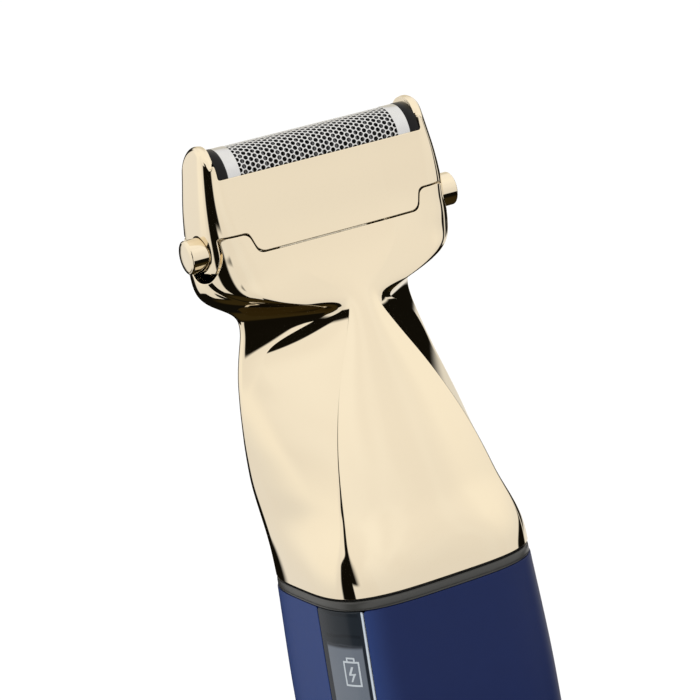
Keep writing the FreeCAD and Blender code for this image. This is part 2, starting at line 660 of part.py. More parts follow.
def bracket_screws():
    def screw(side):
        x = side * BRACKET_SCREW_X
        shape = cylinder(1.0, 4.1, x, 0, above(-4.6))
        shape = shape.fuse(cylinder(1.7, 1.0, x, 0, above(-0.75))).removeSplitter()
        return shape.cut(block(1.4, 0.2, above(-0.1), above(1), x))
    return pair(screw)


def drive_seal():
    seal = rounded_block(6.1, 2.5, 10.0, 1.6, above(43.6), above(44.4))
    seal = seal.fuse(rounded_block(4.4, 2.9, 9.5, 1.4, above(41.6), above(43.7)))
    seal = seal.cut(rounded_block(2.6, 3.6, 8.6, 0.8, above(39), above(46)))
    return seal.removeSplitter()


# Collar between grip and neck

def collar_ring():
    collar = grip_solid(above(-1.75), above(-0.35), 0.12, 0.4)
    collar = collar.fuse(grip_solid(above(-6.5), above(4.0), 1.85, 2.0))
    collar = collar.cut(grip_solid(above(-8), above(6), 3.0, 2.0))
    plate = grip_solid(above(-4.6), above(-2.5), 2.9, 0.6)
    plate = plate.cut(cylinder(5.2, 20, 0, 0, above(-10)))
    for side in SIDES:
        x = side * NECK_SCREW_X
        plate = plate.cut(cylinder(1.1, 12, x, NECK_SCREW_Y, above(-8)))
        plate = plate.cut(cylinder(1.0, 12, side * BRACKET_SCREW_X, 0, above(-8)))
        collar = collar.cut(cylinder(2.5, 5, x, NECK_SCREW_Y, above(-0.1)))
    collar = collar.cut(strip_box(STRIP_HALF + 0.2, 9, 40, above(-9), above(-1.86)))
    return collar.fuse(plate).removeSplitter()


def neck_screws():
    def screw(side):
        x, y = side * NECK_SCREW_X, NECK_SCREW_Y
        shape = cylinder(THREAD_R, 8.0, x, y, above(-2.4))
        shape = shape.fuse(cylinder(1.0, 2.3, x, y, above(-4.6)))
        shape = shape.fuse(cylinder(1.8, 1.2, x, y, above(-5.8)))
        return shape.cut(block(1.4, 0.2, above(-6), above(-5.3), x, y)).removeSplitter()
    return pair(screw)


def collar_gasket():
    gasket = grip_solid(above(-0.33), above(-0.02), 0.75, 0.1)
    return gasket.cut(grip_solid(above(-1), above(1), 1.8, 0.5))


# Grip sleeve, display strip and electronics

def handle_sleeve():
    sleeve = grip_solid(SLEEVE_BASE, SLEEVE_TOP, 0.0)
    sleeve = sleeve.cut(grip_solid(SLEEVE_BASE - 1, SLEEVE_TOP + 1, SLEEVE_WALL))
    return sleeve.cut(strip_space(0.0, SLEEVE_TOP + 5))


def display_window():
    window = grip_solid(SLEEVE_BASE, SLEEVE_TOP, 0.1)
    window = window.common(strip_space(0.08, SLEEVE_TOP - 0.02))
    window = window.cut(grip_solid(SLEEVE_BASE - 1, SLEEVE_TOP + 1, 2.05))
    return window.cut(power_pill(3.16, 5, 30))


def power_button():
    outer = STRIP_SURFACE + 0.35
    button = power_pill(3.0, 15.6, outer)
    rim = [e for e in button.Edges
           if all(abs(v.Point.x * STRIP_OUT_X + v.Point.y * STRIP_OUT_Y - outer) < 0.01
                  for v in e.Vertexes)]
    try:
        button = button.makeFillet(0.4, rim)
    except Exception:
        pass    # guards the fillet of the outer rim; it stays sharp if it fails
    button = button.fuse(power_pill(3.5, 15.0, 15.6))
    return button.fuse(strip_cylinder(POWER_Z, 1.0, 14.75, 15.2)).removeSplitter()


def button_membrane():
    return strip_box(4.2, 13.9, 14.3, POWER_Z - 8.5, POWER_Z + 8.5)


def tact_switch():
    body = strip_box(2.2, 12.1, 13.3, POWER_Z - 2.2, POWER_Z + 2.2)
    return body.fuse(strip_cylinder(POWER_Z, 1.1, 13.2, 13.75)).removeSplitter()


def main_circuit_board():
    low, high, hole_inset = 38.0, 98.0, 3.0
    board = strip_box(5.2, 11.0, 12.05, low, high)
    for z in (low + hole_inset, high - hole_inset):
        board = board.cut(strip_cylinder(z, 1.1, 8, 14))
    return board


def indicator_leds():
    return Part.makeCompound([strip_box(0.8, 12.1, 12.9, z - 1.0, z + 1.0)
                              for z in (84.0, 88.0, 92.0)])


def inner_chassis():
    chassis = grip_solid(9.0, CHASSIS_TOP, 1.35).cut(grip_solid(8, above(-6), 2.5))
    chassis = chassis.cut(strip_box(6.0, 9, 40, 0, 200))
    for opening in ((-9, 9, -40, 0, 24, 64), (-9, 9, 0, 40, 24, 64),    # front, back
                    (0, 40, -8, 8, 24, 64), (0, 40, -8, 8, 74, 94)):    # right, low and high
        chassis = chassis.cut(box(*opening))

    def rib(z0, z1):
        return grip_solid(z0, z1, 2.4, 0.4).cut(strip_box(6.0, 10.6, 40, 0, 200))
    low_rib = rib(13.0, 15.0).cut(box(-6.6, 6.6, -3.0, 5.6, 0, 20))
    mid_rib = rib(68.6, 70.2).cut(strip_box(3.8, 4.6, 40, 60, 80, middle=0.2))
    top_rib = rib(MOTOR_TOP, CHASSIS_TOP).cut(cylinder(5.3, 20, 0, 0, 90))
    for side in SIDES:
        top_rib = top_rib.cut(cylinder(1.05, 20, side * MOTOR_SCREW_X, 0, 90))
        top_rib = top_rib.cut(cylinder(2.2, 20, side * NECK_SCREW_X, NECK_SCREW_Y, 90))
    chassis = chassis.fuse(low_rib).fuse(mid_rib).fuse(top_rib)
    for side in SIDES:      # screw posts for the base cap
        x, y = side * BASE_SCREW_X, BASE_SCREW_Y
        post = cylinder(2.4, 7.0, x, y, 6.2).cut(cylinder(THREAD_R, 6.5, x, y, 5.0))
        chassis = chassis.fuse(post)
    return chassis.removeSplitter()


def battery_cell():
    can = cylinder(7.05, 48.4, CELL_X, CELL_Y, 17.4)
    return can.fuse(cylinder(2.4, 0.8, CELL_X, CELL_Y, 65.7)).removeSplitter()


def battery_tabs():
    x0, x1 = CELL_X - 2.0, CELL_X + 2.0
    back, top, sheet = CELL_Y + 7.9, 66.9, 0.3
    lower = box(x0, x1, CELL_Y - 4.5, CELL_Y + 4.5, 16.95, 17.3)
    upper = box(x0, x1, CELL_Y - 1.5, back, top - sheet, top)
    upper = upper.fuse(box(x0, x1, back - sheet, back, 60.0, top)).removeSplitter()
    return Part.makeCompound([lower, upper])


# Motor

def between_flats(shape, half_y):
    return shape.common(box(-20, 20, -half_y, half_y, 0, 200))


def flat_sided(radius, half_y, height, z):
    """Cylinder with flats front and back."""
    return between_flats(cylinder(radius, height, 0, 0, z), half_y)


def motor_can():
    height = MOTOR_TOP - MOTOR_BASE
    can = flat_sided(9.6, 7.5, height, MOTOR_BASE)
    can = can.cut(flat_sided(8.6, 6.7, height - 0.8, MOTOR_BASE - 0.01))
    can = can.cut(cylinder(2.1, 10, 0, 0, MOTOR_TOP - 3))
    for side in SIDES:
        can = can.cut(cylinder(THREAD_R, 4, side * MOTOR_SCREW_X, 0, MOTOR_TOP - 2))
    return can


def motor_end_cap():
    cap = flat_sided(8.5, 6.6, 1.6, MOTOR_BASE)
    cap = cap.fuse(cylinder(3.0, 1.4, 0, 0, MOTOR_BASE - 1.3))
    cap = cap.cut(cylinder(SHAFT_R + 0.06, 20, 0, 0, MOTOR_BASE - 0.9))
    for side in SIDES:      # terminals
        cap = cap.fuse(block(0.9, 0.2, MOTOR_BASE - 1.7, MOTOR_BASE + 0.2, side * 5.5))
    return cap.removeSplitter()


def motor_magnets():
    def magnet(side):
        ring = between_flats(tube(8.55, 6.2, 14.0, 0, 0, MOTOR_BASE + 5), 5.5)
        return ring.common(box(*side_span(side, 0, 20), -20, 20, 0, 200))
    return pair(magnet)


def motor_bearing():
    return tube(2.05, SHAFT_R + 0.04, 2.0, 0, 0, MOTOR_TOP - 1.6)


def motor_armature():
    armature = cylinder(5.7, 12.0, 0, 0, MOTOR_BASE + 6)
    armature = armature.fuse(cylinder(2.6, 3.2, 0, 0, MOTOR_BASE + 3.0))
    armature = armature.cut(cylinder(SHAFT_R, 30, 0, 0, MOTOR_BASE))
    slots, slot_circle_r = 3, 5.2
    for i in range(slots):
        angle = math.radians(360 / slots * i)
        armature = armature.cut(cylinder(1.5, 14, slot_circle_r * math.cos(angle),
                                         slot_circle_r * math.sin(angle), MOTOR_BASE + 5))
    return armature.removeSplitter()


def motor_shaft():
    return cylinder(SHAFT_R, 32.0, 0, 0, MOTOR_BASE - 0.8)


def eccentric_cam():
    cam = cylinder(2.9, 5.0, 0, 0, 99.2).cut(cylinder(SHAFT_R, 4.05, 0, 0, 99.15))
    return cam.cut(cylinder(ECCENTRIC_PIN_R, 2.05, ECCENTRIC_THROW, 0, 102.2))


def eccentric_pin():
    return cylinder(ECCENTRIC_PIN_R, 12.2, ECCENTRIC_THROW, 0, 103.25)


def motor_cushion():
    return flat_sided(10.6, 8.5, 12.0, 80).cut(flat_sided(9.65, 7.55, 14, 79))


def motor_screws():
    def screw(side):
        x = side * MOTOR_SCREW_X
        head = cylinder(1.6, 0.9, x, 0, CHASSIS_TOP + 0.05)
        return cylinder(THREAD_R, 4.2, x, 0, MOTOR_TOP - 0.75).fuse(head).removeSplitter()
    return pair(screw)


# Base and charging socket

def charge_socket():
    half_x, half_y, wall = 4.47, 1.6, 0.3
    shell = obround(half_x, half_y, 1.4, 8.8)
    shell = shell.cut(obround(half_x - wall, half_y - wall, 1.0, 7.8))
    return shell.fuse(block(3.35, 0.35, 2.4, 7.9)).removeSplitter()


def charge_board():
    return box(-6.0, 6.0, 1.7, 2.7, 3.4, 16.0)


def base_cap():
    heights = (0.0, 0.35, 0.8, 1.5, 2.4, 3.1, 3.88)
    cap = skin_solid([(grip_section(z, 0.0), z) for z in heights])
    cap = cap.fuse(grip_solid(3.0, 8.4, 1.35, 1.2))
    cap = cap.cut(grip_solid(3.2, 9.5, 2.6, 1.2))
    cap = cap.cut(obround(4.6, 1.72, -1, 6))
    for side in SIDES:      # screw boss, clearance hole and head recess
        x, y = side * BASE_SCREW_X, BASE_SCREW_Y
        cap = cap.fuse(cylinder(2.6, 3.0, x, y, 3.1))
        cap = cap.cut(cylinder(1.1, 10, x, y, -1)).cut(cylinder(2.0, 1.9, x, y, -0.4))
    seal_groove = grip_solid(4.9, 6.1, 0.2, 0.4).cut(grip_solid(4, 7, 1.95, 1))
    return cap.cut(seal_groove).removeSplitter()


def base_seal():
    return grip_solid(5.0, 6.0, 1.3, 0.33).cut(grip_solid(4.5, 6.5, 1.92, 0.6))


def base_screws():
    def screw(side):
        x, y = side * BASE_SCREW_X, BASE_SCREW_Y
        shape = cylinder(THREAD_R, 8.3, x, y, 2.5)
        shape = shape.fuse(cylinder(1.0, 2.1, x, y, 1.45)).fuse(cylinder(1.85, 1.0, x, y, 0.5))
        shape = shape.cut(block(1.3, 0.2, 0, 1.0, x, y)).cut(block(0.2, 1.3, 0, 1.0, x, y))
        return shape.removeSplitter()
    return pair(screw)


# Leads

def lead(points):
    path = Part.BSplineCurve()
    path.interpolate([Vector(point) for point in points])
    tangent = path.tangent(path.FirstParameter)[0]
    profile = Part.Wire([Part.makeCircle(0.45, Vector(points[0]), tangent)])
    return Part.Wire([path.toShape()]).makePipeShell([profile], True, True)


def motor_leads():
    return Part.makeCompound([
        lead([(-5.5, -0.7, 71.0), (-6.9, -1.5, 70.2), (-8.2, -2.2, 67.0),
              strip_point(2.4, 10.45, 62.5)]),
        lead([(5.5, -0.7, 71.0), (4.4, -4.6, 70.85), (0.2, -6.4, 70.8), (-4.6, -5.8, 70.7),
              (-7.2, -5.4, 68.2), strip_point(5.0, 10.45, 62.5)])])


def charge_leads():
    return Part.makeCompound([
        lead([(-4.6, 3.2, 12.6), (-5.2, 3.7, 15.8), (-7.4, 2.2, 24.0),
              strip_point(-0.6, 9.75, 34.0), strip_point(-0.6, 10.1, 42.0)]),
        lead([(-2.4, 3.2, 12.6), (-4.5, 4.6, 15.6), (-6.3, 0.6, 24.0),
              strip_point(1.8, 9.75, 34.0), strip_point(1.8, 10.1, 42.0)])])


def export(name, shape):
    shape.exportStep("parts/%s.step" % name)


# Each file takes the name of the function that builds it
os.makedirs("parts", exist_ok=True)
for piece in (
        neck_housing, foil_frame, foil_screen, foil_end_caps,
        cutter_tray, cutter_carrier, cutter_springs, blade_holder, inner_blades,
        drive_lever, lever_bush, lever_pin, lever_bracket, bracket_screws, drive_seal,
        collar_ring, neck_screws, collar_gasket, handle_sleeve, display_window,
        power_button, button_membrane, tact_switch, main_circuit_board, indicator_leds,
        inner_chassis, battery_cell, battery_tabs,
        motor_can, motor_end_cap, motor_magnets, motor_bearing, motor_armature, motor_shaft,
        eccentric_cam, eccentric_pin, motor_cushion, motor_screws,
        charge_socket, charge_board, base_cap, base_seal, base_screws,
        motor_leads, charge_leads):
    export(piece.__name__, piece())
for side, side_name in zip(SIDES, ("left", "right")):
    export("release_button_" + side_name, release_button(side))
    export("latch_spring_" + side_name, latch_spring(side))
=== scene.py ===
"""Foil shaver standing upright: blue grip with a smoked strip, plated neck and foil cassette.

The scene is in metres, +Z up, with the front at -Y and the left at -X. Shapes are worked out in
millimetres. Heights on the grip are above the floor, those on the neck and cassette above the
joint between grip and neck.
"""
import json
import math

import bpy
import numpy as np
from mathutils import Matrix, Vector


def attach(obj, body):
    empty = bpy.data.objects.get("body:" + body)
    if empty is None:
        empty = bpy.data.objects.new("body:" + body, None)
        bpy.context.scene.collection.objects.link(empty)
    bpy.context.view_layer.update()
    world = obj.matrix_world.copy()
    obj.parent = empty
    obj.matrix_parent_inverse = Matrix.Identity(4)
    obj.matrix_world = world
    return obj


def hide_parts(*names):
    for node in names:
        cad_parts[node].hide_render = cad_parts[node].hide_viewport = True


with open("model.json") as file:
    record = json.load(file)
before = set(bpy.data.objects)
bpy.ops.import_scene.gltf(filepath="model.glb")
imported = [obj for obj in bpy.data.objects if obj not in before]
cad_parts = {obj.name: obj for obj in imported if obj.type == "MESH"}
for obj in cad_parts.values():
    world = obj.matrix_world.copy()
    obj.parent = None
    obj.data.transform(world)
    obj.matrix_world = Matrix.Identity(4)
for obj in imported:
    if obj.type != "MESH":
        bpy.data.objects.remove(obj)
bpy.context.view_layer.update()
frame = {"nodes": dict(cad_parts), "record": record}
COARSEN = 1     # widens the grid steps for a quick build

JOINT_M = 0.106                      # joint height, metres
JOINT = JOINT_M * 1000.0
SIDES = ((-1, "left"), (1, "right"))

# Grip outline at the joint: superellipse half widths along x and y, and its power
GRIP_A, GRIP_B, GRIP_POWER = 17.6, 16.25, 3.7

# Smoked strip on the grip's left side: the way it faces, and its middle line across that way
STRIP_NX, STRIP_NY = -0.917, -0.399
ACROSS_X, ACROSS_Y = -STRIP_NY, STRIP_NX      # across the strip, towards the front
STRIP_MID = 2.25


# ------------------------------------------------------------------ materials
class Graph:
    """A shader node tree with short builders; an input is a plain value or a socket."""

    def __init__(self, owner):
        owner.use_nodes = True
        self.tree = owner.node_tree
        self.tree.nodes.clear()

    def feed(self, node, inputs):
        for key, value in inputs.items():
            socket = node.inputs[key]
            if isinstance(value, bpy.types.NodeSocket):
                self.tree.links.new(value, socket)
            elif socket.type == "RGBA":
                socket.default_value = (*value, 1)
            else:
                socket.default_value = value

    def add(self, kind, inputs=None, **settings):
        node = self.tree.nodes.new("ShaderNode" + kind)
        for key, value in settings.items():
            setattr(node, key, value)
        self.feed(node, inputs or {})
        return node

    def math(self, operation, *values):
        return self.add("Math", dict(enumerate(values)), operation=operation).outputs[0]

    def plus(self, first, second):
        return self.math("ADD", first, second)

    def minus(self, first, second):
        return self.math("SUBTRACT", first, second)

    def times(self, first, *factors):
        for factor in factors:
            first = self.math("MULTIPLY", first, factor)
        return first

    def inverse(self, value):
        return self.minus(1.0, value)

    def step(self, value, low, high):
        """0 below low, 1 above high, smooth between."""
        inputs = {"Value": value, "From Min": low, "From Max": high}
        return self.add("MapRange", inputs, interpolation_type="SMOOTHSTEP").outputs[0]

    def band(self, value, rise_from, rise_to, fall_from, fall_to):
        """1 between a smooth rise and a smooth fall, 0 outside them."""
        rise = self.step(value, rise_from, rise_to)
        return self.times(rise, self.inverse(self.step(value, fall_from, fall_to)))

    def between(self, factor, low, high):
        return self.add("MapRange", {"Value": factor, "To Min": low, "To Max": high}).outputs[0]

    def mix(self, factor, first, second):
        return self.add("Mix", {6: first, 7: second, 0: factor}, data_type="RGBA").outputs[2]

    def noise(self, scale, detail=3.0, vector=None):
        if vector is None:
            vector = self.add("TexCoord").outputs["Object"]
        inputs = {"Scale": scale, "Detail": detail, "Vector": vector}
        return self.add("TexNoise", inputs).outputs["Fac"]

    def vary(self, colour, cloud, spread):
        """The colour with its brightness varied by the noise."""
        value = self.between(cloud, 1 - spread, 1 + spread)
        return self.add("HueSaturation", {"Color": colour, "Value": value}).outputs[0]

    def grain(self, scale, strength):
        """Normal of a fine, shallow bump."""
        height = self.noise(scale, detail=2.0)
        inputs = {"Strength": strength, "Distance": 0.00002, "Height": height}
        return self.add("Bump", inputs).outputs[0]


def new_material(name):
    material = bpy.data.materials.new(name)
    graph = Graph(material)
    shader = graph.add("BsdfPrincipled")
    graph.add("OutputMaterial", {0: shader.outputs[0]})
    return material, graph, shader


def plain_finish(name, colour, rough, metal=0.0, colour_vary=0.04, rough_vary=0.05,
                 scale=400.0, grain=0.0, specular=0.5):
    """One colour, with slight noise in brightness and roughness."""
    material, graph, shader = new_material(name)
    cloud = graph.noise(scale)
    half = rough_vary * 0.5
    graph.feed(shader, {
        "Base Color": graph.vary(colour, cloud, colour_vary),
        "Roughness": graph.between(cloud, rough - half, rough + half),
        "Metallic": metal,
        "Specular IOR Level": specular,
        "Coat Roughness": 0.05,
    })
    if grain:
        graph.feed(shader, {"Normal": graph.grain(scale=2500.0, strength=grain)})
    return material


def blue_finish(name):
    """Satin blue lacquer, a little redder and lighter where the surface turns to the left:
    painted light from that side.
    """
    material, graph, shader = new_material(name)
    cloud = graph.noise(scale=350)
    normal = graph.add("NewGeometry").outputs["Normal"]
    # painted light: surfaces turned to the left, where the light comes from, get the lighter,
    # redder blue
    painted_light_way = (-0.97, -0.24, 0.0)
    facing = graph.add("VectorMath", {0: normal, 1: painted_light_way}, operation="DOT_PRODUCT")
    side = graph.step(facing.outputs["Value"], low=0.45, high=0.95)
    base = graph.mix(side, first=(0.0028, 0.0115, 0.068), second=(0.0135, 0.036, 0.145))
    graph.feed(shader, {
        "Base Color": graph.vary(base, cloud, spread=0.05),
        "Roughness": graph.between(cloud, low=0.40, high=0.46),
        "Specular IOR Level": 0.22,
        "Normal": graph.grain(scale=5200, strength=0.05),
    })
    return material


def window_finish(name):
    """Smoked strip: a lighter panel below a step, dark margins, dark wavy bands above, and a
    painted highlight along the front edge.
    """
    material, graph, shader = new_material(name)
    place = graph.add("TexCoord").outputs["Object"]
    x, y, z = graph.add("SeparateXYZ", {0: place}).outputs
    # millimetres across the strip from its middle, and up
    across = graph.plus(graph.times(x, 1000.0 * ACROSS_X), graph.times(y, 1000.0 * ACROSS_Y))
    across = graph.minus(across, STRIP_MID)
    height = graph.times(z, 1000.0)
    cloud = graph.noise(scale=420)
    wobble = graph.times(graph.minus(cloud, 0.5), 0.9)

    inner = graph.band(across, rise_from=-3.35, rise_to=-3.15, fall_from=3.75, fall_to=3.95)
    below = graph.inverse(graph.step(graph.plus(height, wobble), low=98.7, high=99.3))
    above = graph.inverse(below)
    colour = graph.mix(graph.times(inner, below),
                       first=(0.012, 0.016, 0.022), second=(0.115, 0.132, 0.158))
    colour = graph.mix(graph.times(inner, above), colour, second=(0.013, 0.017, 0.022))

    # dark wavy bands above the step
    wave = graph.add("TexWave", {"Scale": 95.0, "Distortion": 3.5, "Detail": 1.0,
                                 "Vector": place}, wave_type="BANDS", bands_direction="Z")
    crest = graph.step(wave.outputs["Fac"], low=0.90, high=0.99)
    dark_waves = graph.times(crest, graph.times(above, inner))
    colour = graph.mix(dark_waves, colour, second=(0.010, 0.013, 0.017))
    # dark line just under the step
    under_step = graph.times(graph.step(height, low=98.2, high=98.9), below)
    colour = graph.mix(graph.times(under_step, inner), colour, second=(0.012, 0.014, 0.018))
    # painted highlight: a bright line along the front edge, where its chamfer catches the light
    painted_edge_highlight = graph.band(across, rise_from=4.30, rise_to=4.42, fall_from=4.60, fall_to=4.72)
    colour = graph.mix(painted_edge_highlight, colour, second=(0.48, 0.53, 0.58))
    graph.feed(shader, {
        "Base Color": colour,
        "Roughness": graph.between(cloud, low=0.16, high=0.26),
        "Specular IOR Level": 0.18,
    })
    return material


CHROME = dict(colour=(0.815, 0.72, 0.55), rough=0.03, metal=1.0, colour_vary=0.01,
              rough_vary=0.01, scale=60)
PLAIN_LOOKS = {
    "champagne_chrome": CHROME,
    "champagne_chrome_cassette": CHROME,
    "champagne_chrome_buttons": CHROME,
    "foil_steel": dict(colour=(0.66, 0.67, 0.68), rough=0.14, metal=1.0, colour_vary=0.03,
                       scale=500),
    "black_plastic": dict(colour=(0.006, 0.006, 0.0065), rough=0.3, colour_vary=0.2,
                          rough_vary=0.1, scale=900, grain=0.06, specular=0.16),
    "white_plastic": dict(colour=(0.8, 0.8, 0.77), rough=0.4, colour_vary=0.03,
                          rough_vary=0.1, scale=900, grain=0.1),
    "spring_steel": dict(colour=(0.62, 0.62, 0.63), rough=0.25, metal=1.0, colour_vary=0.05,
                         rough_vary=0.1),
    # blade steel darkened well below real steel: painted shade for the dark insides of the foil's
    # holes
    "blade_steel": dict(colour=(0.10, 0.10, 0.105), rough=0.55, metal=0.6, colour_vary=0.05,
                        rough_vary=0.1),
    "brass": dict(colour=(0.78, 0.6, 0.27), rough=0.3, metal=1.0),
    "screw_steel": dict(colour=(0.35, 0.35, 0.36), rough=0.35, metal=1.0),
    "seal_rubber": dict(colour=(0.02, 0.02, 0.02), rough=0.7, colour_vary=0.2,
                        rough_vary=0.1, scale=900, grain=0.3),
    "collar_grey": dict(colour=(0.035, 0.035, 0.032), rough=0.3, colour_vary=0.1,
                        rough_vary=0.1),
    "mark_grey": dict(colour=(0.42, 0.46, 0.49), rough=0.4),
    "button_grey": dict(colour=(0.1, 0.11, 0.13), rough=0.3),
    "board_green": dict(colour=(0.02, 0.16, 0.07), rough=0.4),
    "led_resin": dict(colour=(0.85, 0.87, 0.9), rough=0.3),
    "cell_wrap": dict(colour=(0.1, 0.3, 0.22), rough=0.3),
    "nickel": dict(colour=(0.66, 0.65, 0.62), rough=0.2, metal=1.0),
    "motor_steel": dict(colour=(0.58, 0.58, 0.58), rough=0.3, metal=1.0),
    "magnet": dict(colour=(0.08, 0.08, 0.085), rough=0.6, metal=0.3),
    "lead_red": dict(colour=(0.5, 0.03, 0.02), rough=0.4),
    "lead_black": dict(colour=(0.03, 0.03, 0.03), rough=0.4),
}
materials = {name: plain_finish(name, **look) for name, look in PLAIN_LOOKS.items()}
for name in ("blue_paint", "base_blue"):
    materials[name] = blue_finish(name)
materials["smoked_window"] = window_finish("smoked_window")

slot_of = {part["node"]: part["material_slot"] for part in frame["record"]["subparts"]}
for name, piece in frame["nodes"].items():
    piece.data.materials.clear()
    piece.data.materials.append(materials[slot_of[name]])


# ------------------------------------------------------------------ general shape tools
def unit(vectors):
    return vectors / (np.linalg.norm(vectors, axis=-1, keepdims=True) + 1e-12)


def smooth_ramp(value, start, end):
    part = np.clip((value - start) / (end - start), 0, 1)
    return part * part * (3 - 2 * part)


def smooth_min(first, second, blend):
    part = np.clip(0.5 + 0.5 * (second - first) / blend, 0, 1)
    return second * (1 - part) + first * part - blend * part * (1 - part)


def smooth_max(first, second, blend):
    return -smooth_min(-first, -second, blend)


def interp(table, z):
    """Value at z on a cubic through (z, value) stations that never overshoots them."""
    if z <= table[0][0]:
        return table[0][1]
    if z >= table[-1][0]:
        return table[-1][1]
    count = len(table)
    gaps = [table[i + 1][0] - table[i][0] for i in range(count - 1)]
    chords = [(table[i + 1][1] - table[i][1]) / gaps[i] for i in range(count - 1)]
    slopes = [chords[0]] + [0.0] * (count - 2) + [chords[-1]]
    for i in range(1, count - 1):
        if chords[i - 1] * chords[i] > 0:
            weight_1 = 2 * gaps[i] + gaps[i - 1]
            weight_2 = gaps[i] + 2 * gaps[i - 1]
            slopes[i] = (weight_1 + weight_2) / (weight_1 / chords[i - 1] + weight_2 / chords[i])
    i = 0
    while z > table[i + 1][0]:
        i += 1
    t = (z - table[i][0]) / gaps[i]
    return ((2 * t**3 - 3 * t**2 + 1) * table[i][1]
            + (t**3 - 2 * t**2 + t) * gaps[i] * slopes[i]
            + (-2 * t**3 + 3 * t**2) * table[i + 1][1]
            + (t**3 - t**2) * gaps[i] * slopes[i + 1])


def grip_radius(cosine, sine, half_x, half_y):
    """Distance from the axis to the grip's superellipse, along a direction."""
    total = (np.abs(cosine) / half_x) ** GRIP_POWER + (np.abs(sine) / half_y) ** GRIP_POWER
    return total ** (-1.0 / GRIP_POWER)


def round_corner(before, tip, after, radius, count):
    """Points on an arc tangent to both sides of a corner, shrunk where the sides are short."""
    to_before, to_after = np.subtract(before, tip), np.subtract(after, tip)
    length_before, length_after = math.hypot(*to_before), math.hypot(*to_after)
    reach = 0.47 * min(length_before, length_after)
    to_before, to_after = to_before / length_before, to_after / length_after
    angle = math.acos(max(-1.0, min(1.0, float(to_before @ to_after))))
    steps = [i / (count - 1) for i in range(count)]
    if angle > math.pi - 2e-2:      # nearly straight: points spread along the two sides
        trim = min(radius * 0.3, reach)
        return [tip + (to_before if t < 0.5 else to_after) * trim * abs(1 - 2 * t)
                for t in steps]
    trim = min(radius / math.tan(angle / 2), reach)
    radius = trim * math.tan(angle / 2)
    bisector = to_before + to_after
    centre = tip + bisector / math.hypot(*bisector) * (radius / math.sin(angle / 2))
    start = tip + to_before * trim - centre
    end = tip + to_after * trim - centre
    first = math.atan2(start[1], start[0])
    turn = (math.atan2(end[1], end[0]) - first + math.pi) % (2 * math.pi) - math.pi
    return [centre + radius * np.array([math.cos(first + turn * t), math.sin(first + turn * t)])
            for t in steps]


def bridge(start, end, bow=0.0):
    """Points between start and end, bowed outward by this much midway."""
    run = end - start
    outward = np.array([run[1], -run[0]]) / math.hypot(*run)
    return [start + run * t + outward * (bow * 4 * t * (1 - t)) for t in (0.12, 0.35, 0.65, 0.88)]


def spline_weights(positions, count, periodic):
    """Pole indices, weights and derivative weights of a uniform cubic B-spline."""
    first = np.floor(positions).astype(int)
    t = positions - first
    weights = np.stack([(1 - t)**3 / 6, (3 * t**3 - 6 * t**2 + 4) / 6,
                        (-3 * t**3 + 3 * t**2 + 3 * t + 1) / 6, t**3 / 6], 1)
    slopes = np.stack([-(1 - t)**2 / 2, (9 * t**2 - 12 * t) / 6,
                       (-9 * t**2 + 6 * t + 3) / 6, t**2 / 2], 1)
    index = np.stack([first - 1, first, first + 1, first + 2], 1)
    index = index % count if periodic else np.clip(index, 0, count - 1)
    return index, weights, slopes


def gradient(field, points, delta=0.01):
    result = np.zeros_like(points)
    for axis in range(3):
        offset = np.zeros(3)
        offset[axis] = delta
        result[:, axis] = (field(points + offset) - field(points - offset)) / (2 * delta)
    return result


def clip_grid(points, normals, values):
    """Keeps the part of a grid, wrapping along its second axis, where values > 0.

    Returns points, normals, faces, the cut's edges and its first vertex; the cut's vertices
    come last.
    """
    first_cut = values.size
    index = np.arange(first_cut).reshape(values.shape)
    beside = np.roll(index, -1, 1)
    quads = np.stack([index[:-1], beside[:-1], beside[1:], index[1:]], -1).reshape(-1, 4)
    values = values.reshape(-1)
    points, normals = points.reshape(-1, 3), normals.reshape(-1, 3)
    inside = (values[quads] > 0).sum(1)
    faces = [tuple(quad) for quad in quads[inside == 4].tolist()]
    cut_points, cut_normals, cut_edges, known = [], [], [], {}

    def cross(i, j):
        """Vertex where the edge from i to j crosses zero."""
        key = (i, j) if i < j else (j, i)
        if key not in known:
            i, j = key
            t = values[i] / (values[i] - values[j])
            t = min(0.999, max(0.001, t))
            cut_points.append(points[i] * (1 - t) + points[j] * t)
            normal = normals[i] * (1 - t) + normals[j] * t
            cut_normals.append(normal / np.linalg.norm(normal))
            known[key] = first_cut + len(cut_points) - 1
        return known[key]

    for quad in quads[(inside > 0) & (inside < 4)].tolist():
        for triangle in ((quad[0], quad[1], quad[2]), (quad[0], quad[2], quad[3])):
            keep = [values[i] > 0 for i in triangle]
            if all(keep):
                faces.append(triangle)
                continue
            if not any(keep):
                continue
            polygon, crossings = [], []
            for k in range(3):
                after = (k + 1) % 3
                if keep[k]:
                    polygon.append(triangle[k])
                if keep[k] != keep[after]:
                    vertex = cross(triangle[k], triangle[after])
                    polygon.append(vertex)
                    crossings.append((vertex, keep[k]))
            faces.append(tuple(polygon))
            (vertex_1, leaving), (vertex_2, _) = crossings
            cut_edges.append((vertex_1, vertex_2) if leaving else (vertex_2, vertex_1))
    return (np.concatenate([points, np.array(cut_points)]),
            np.concatenate([normals, np.array(cut_normals)]), faces, cut_edges, first_cut)


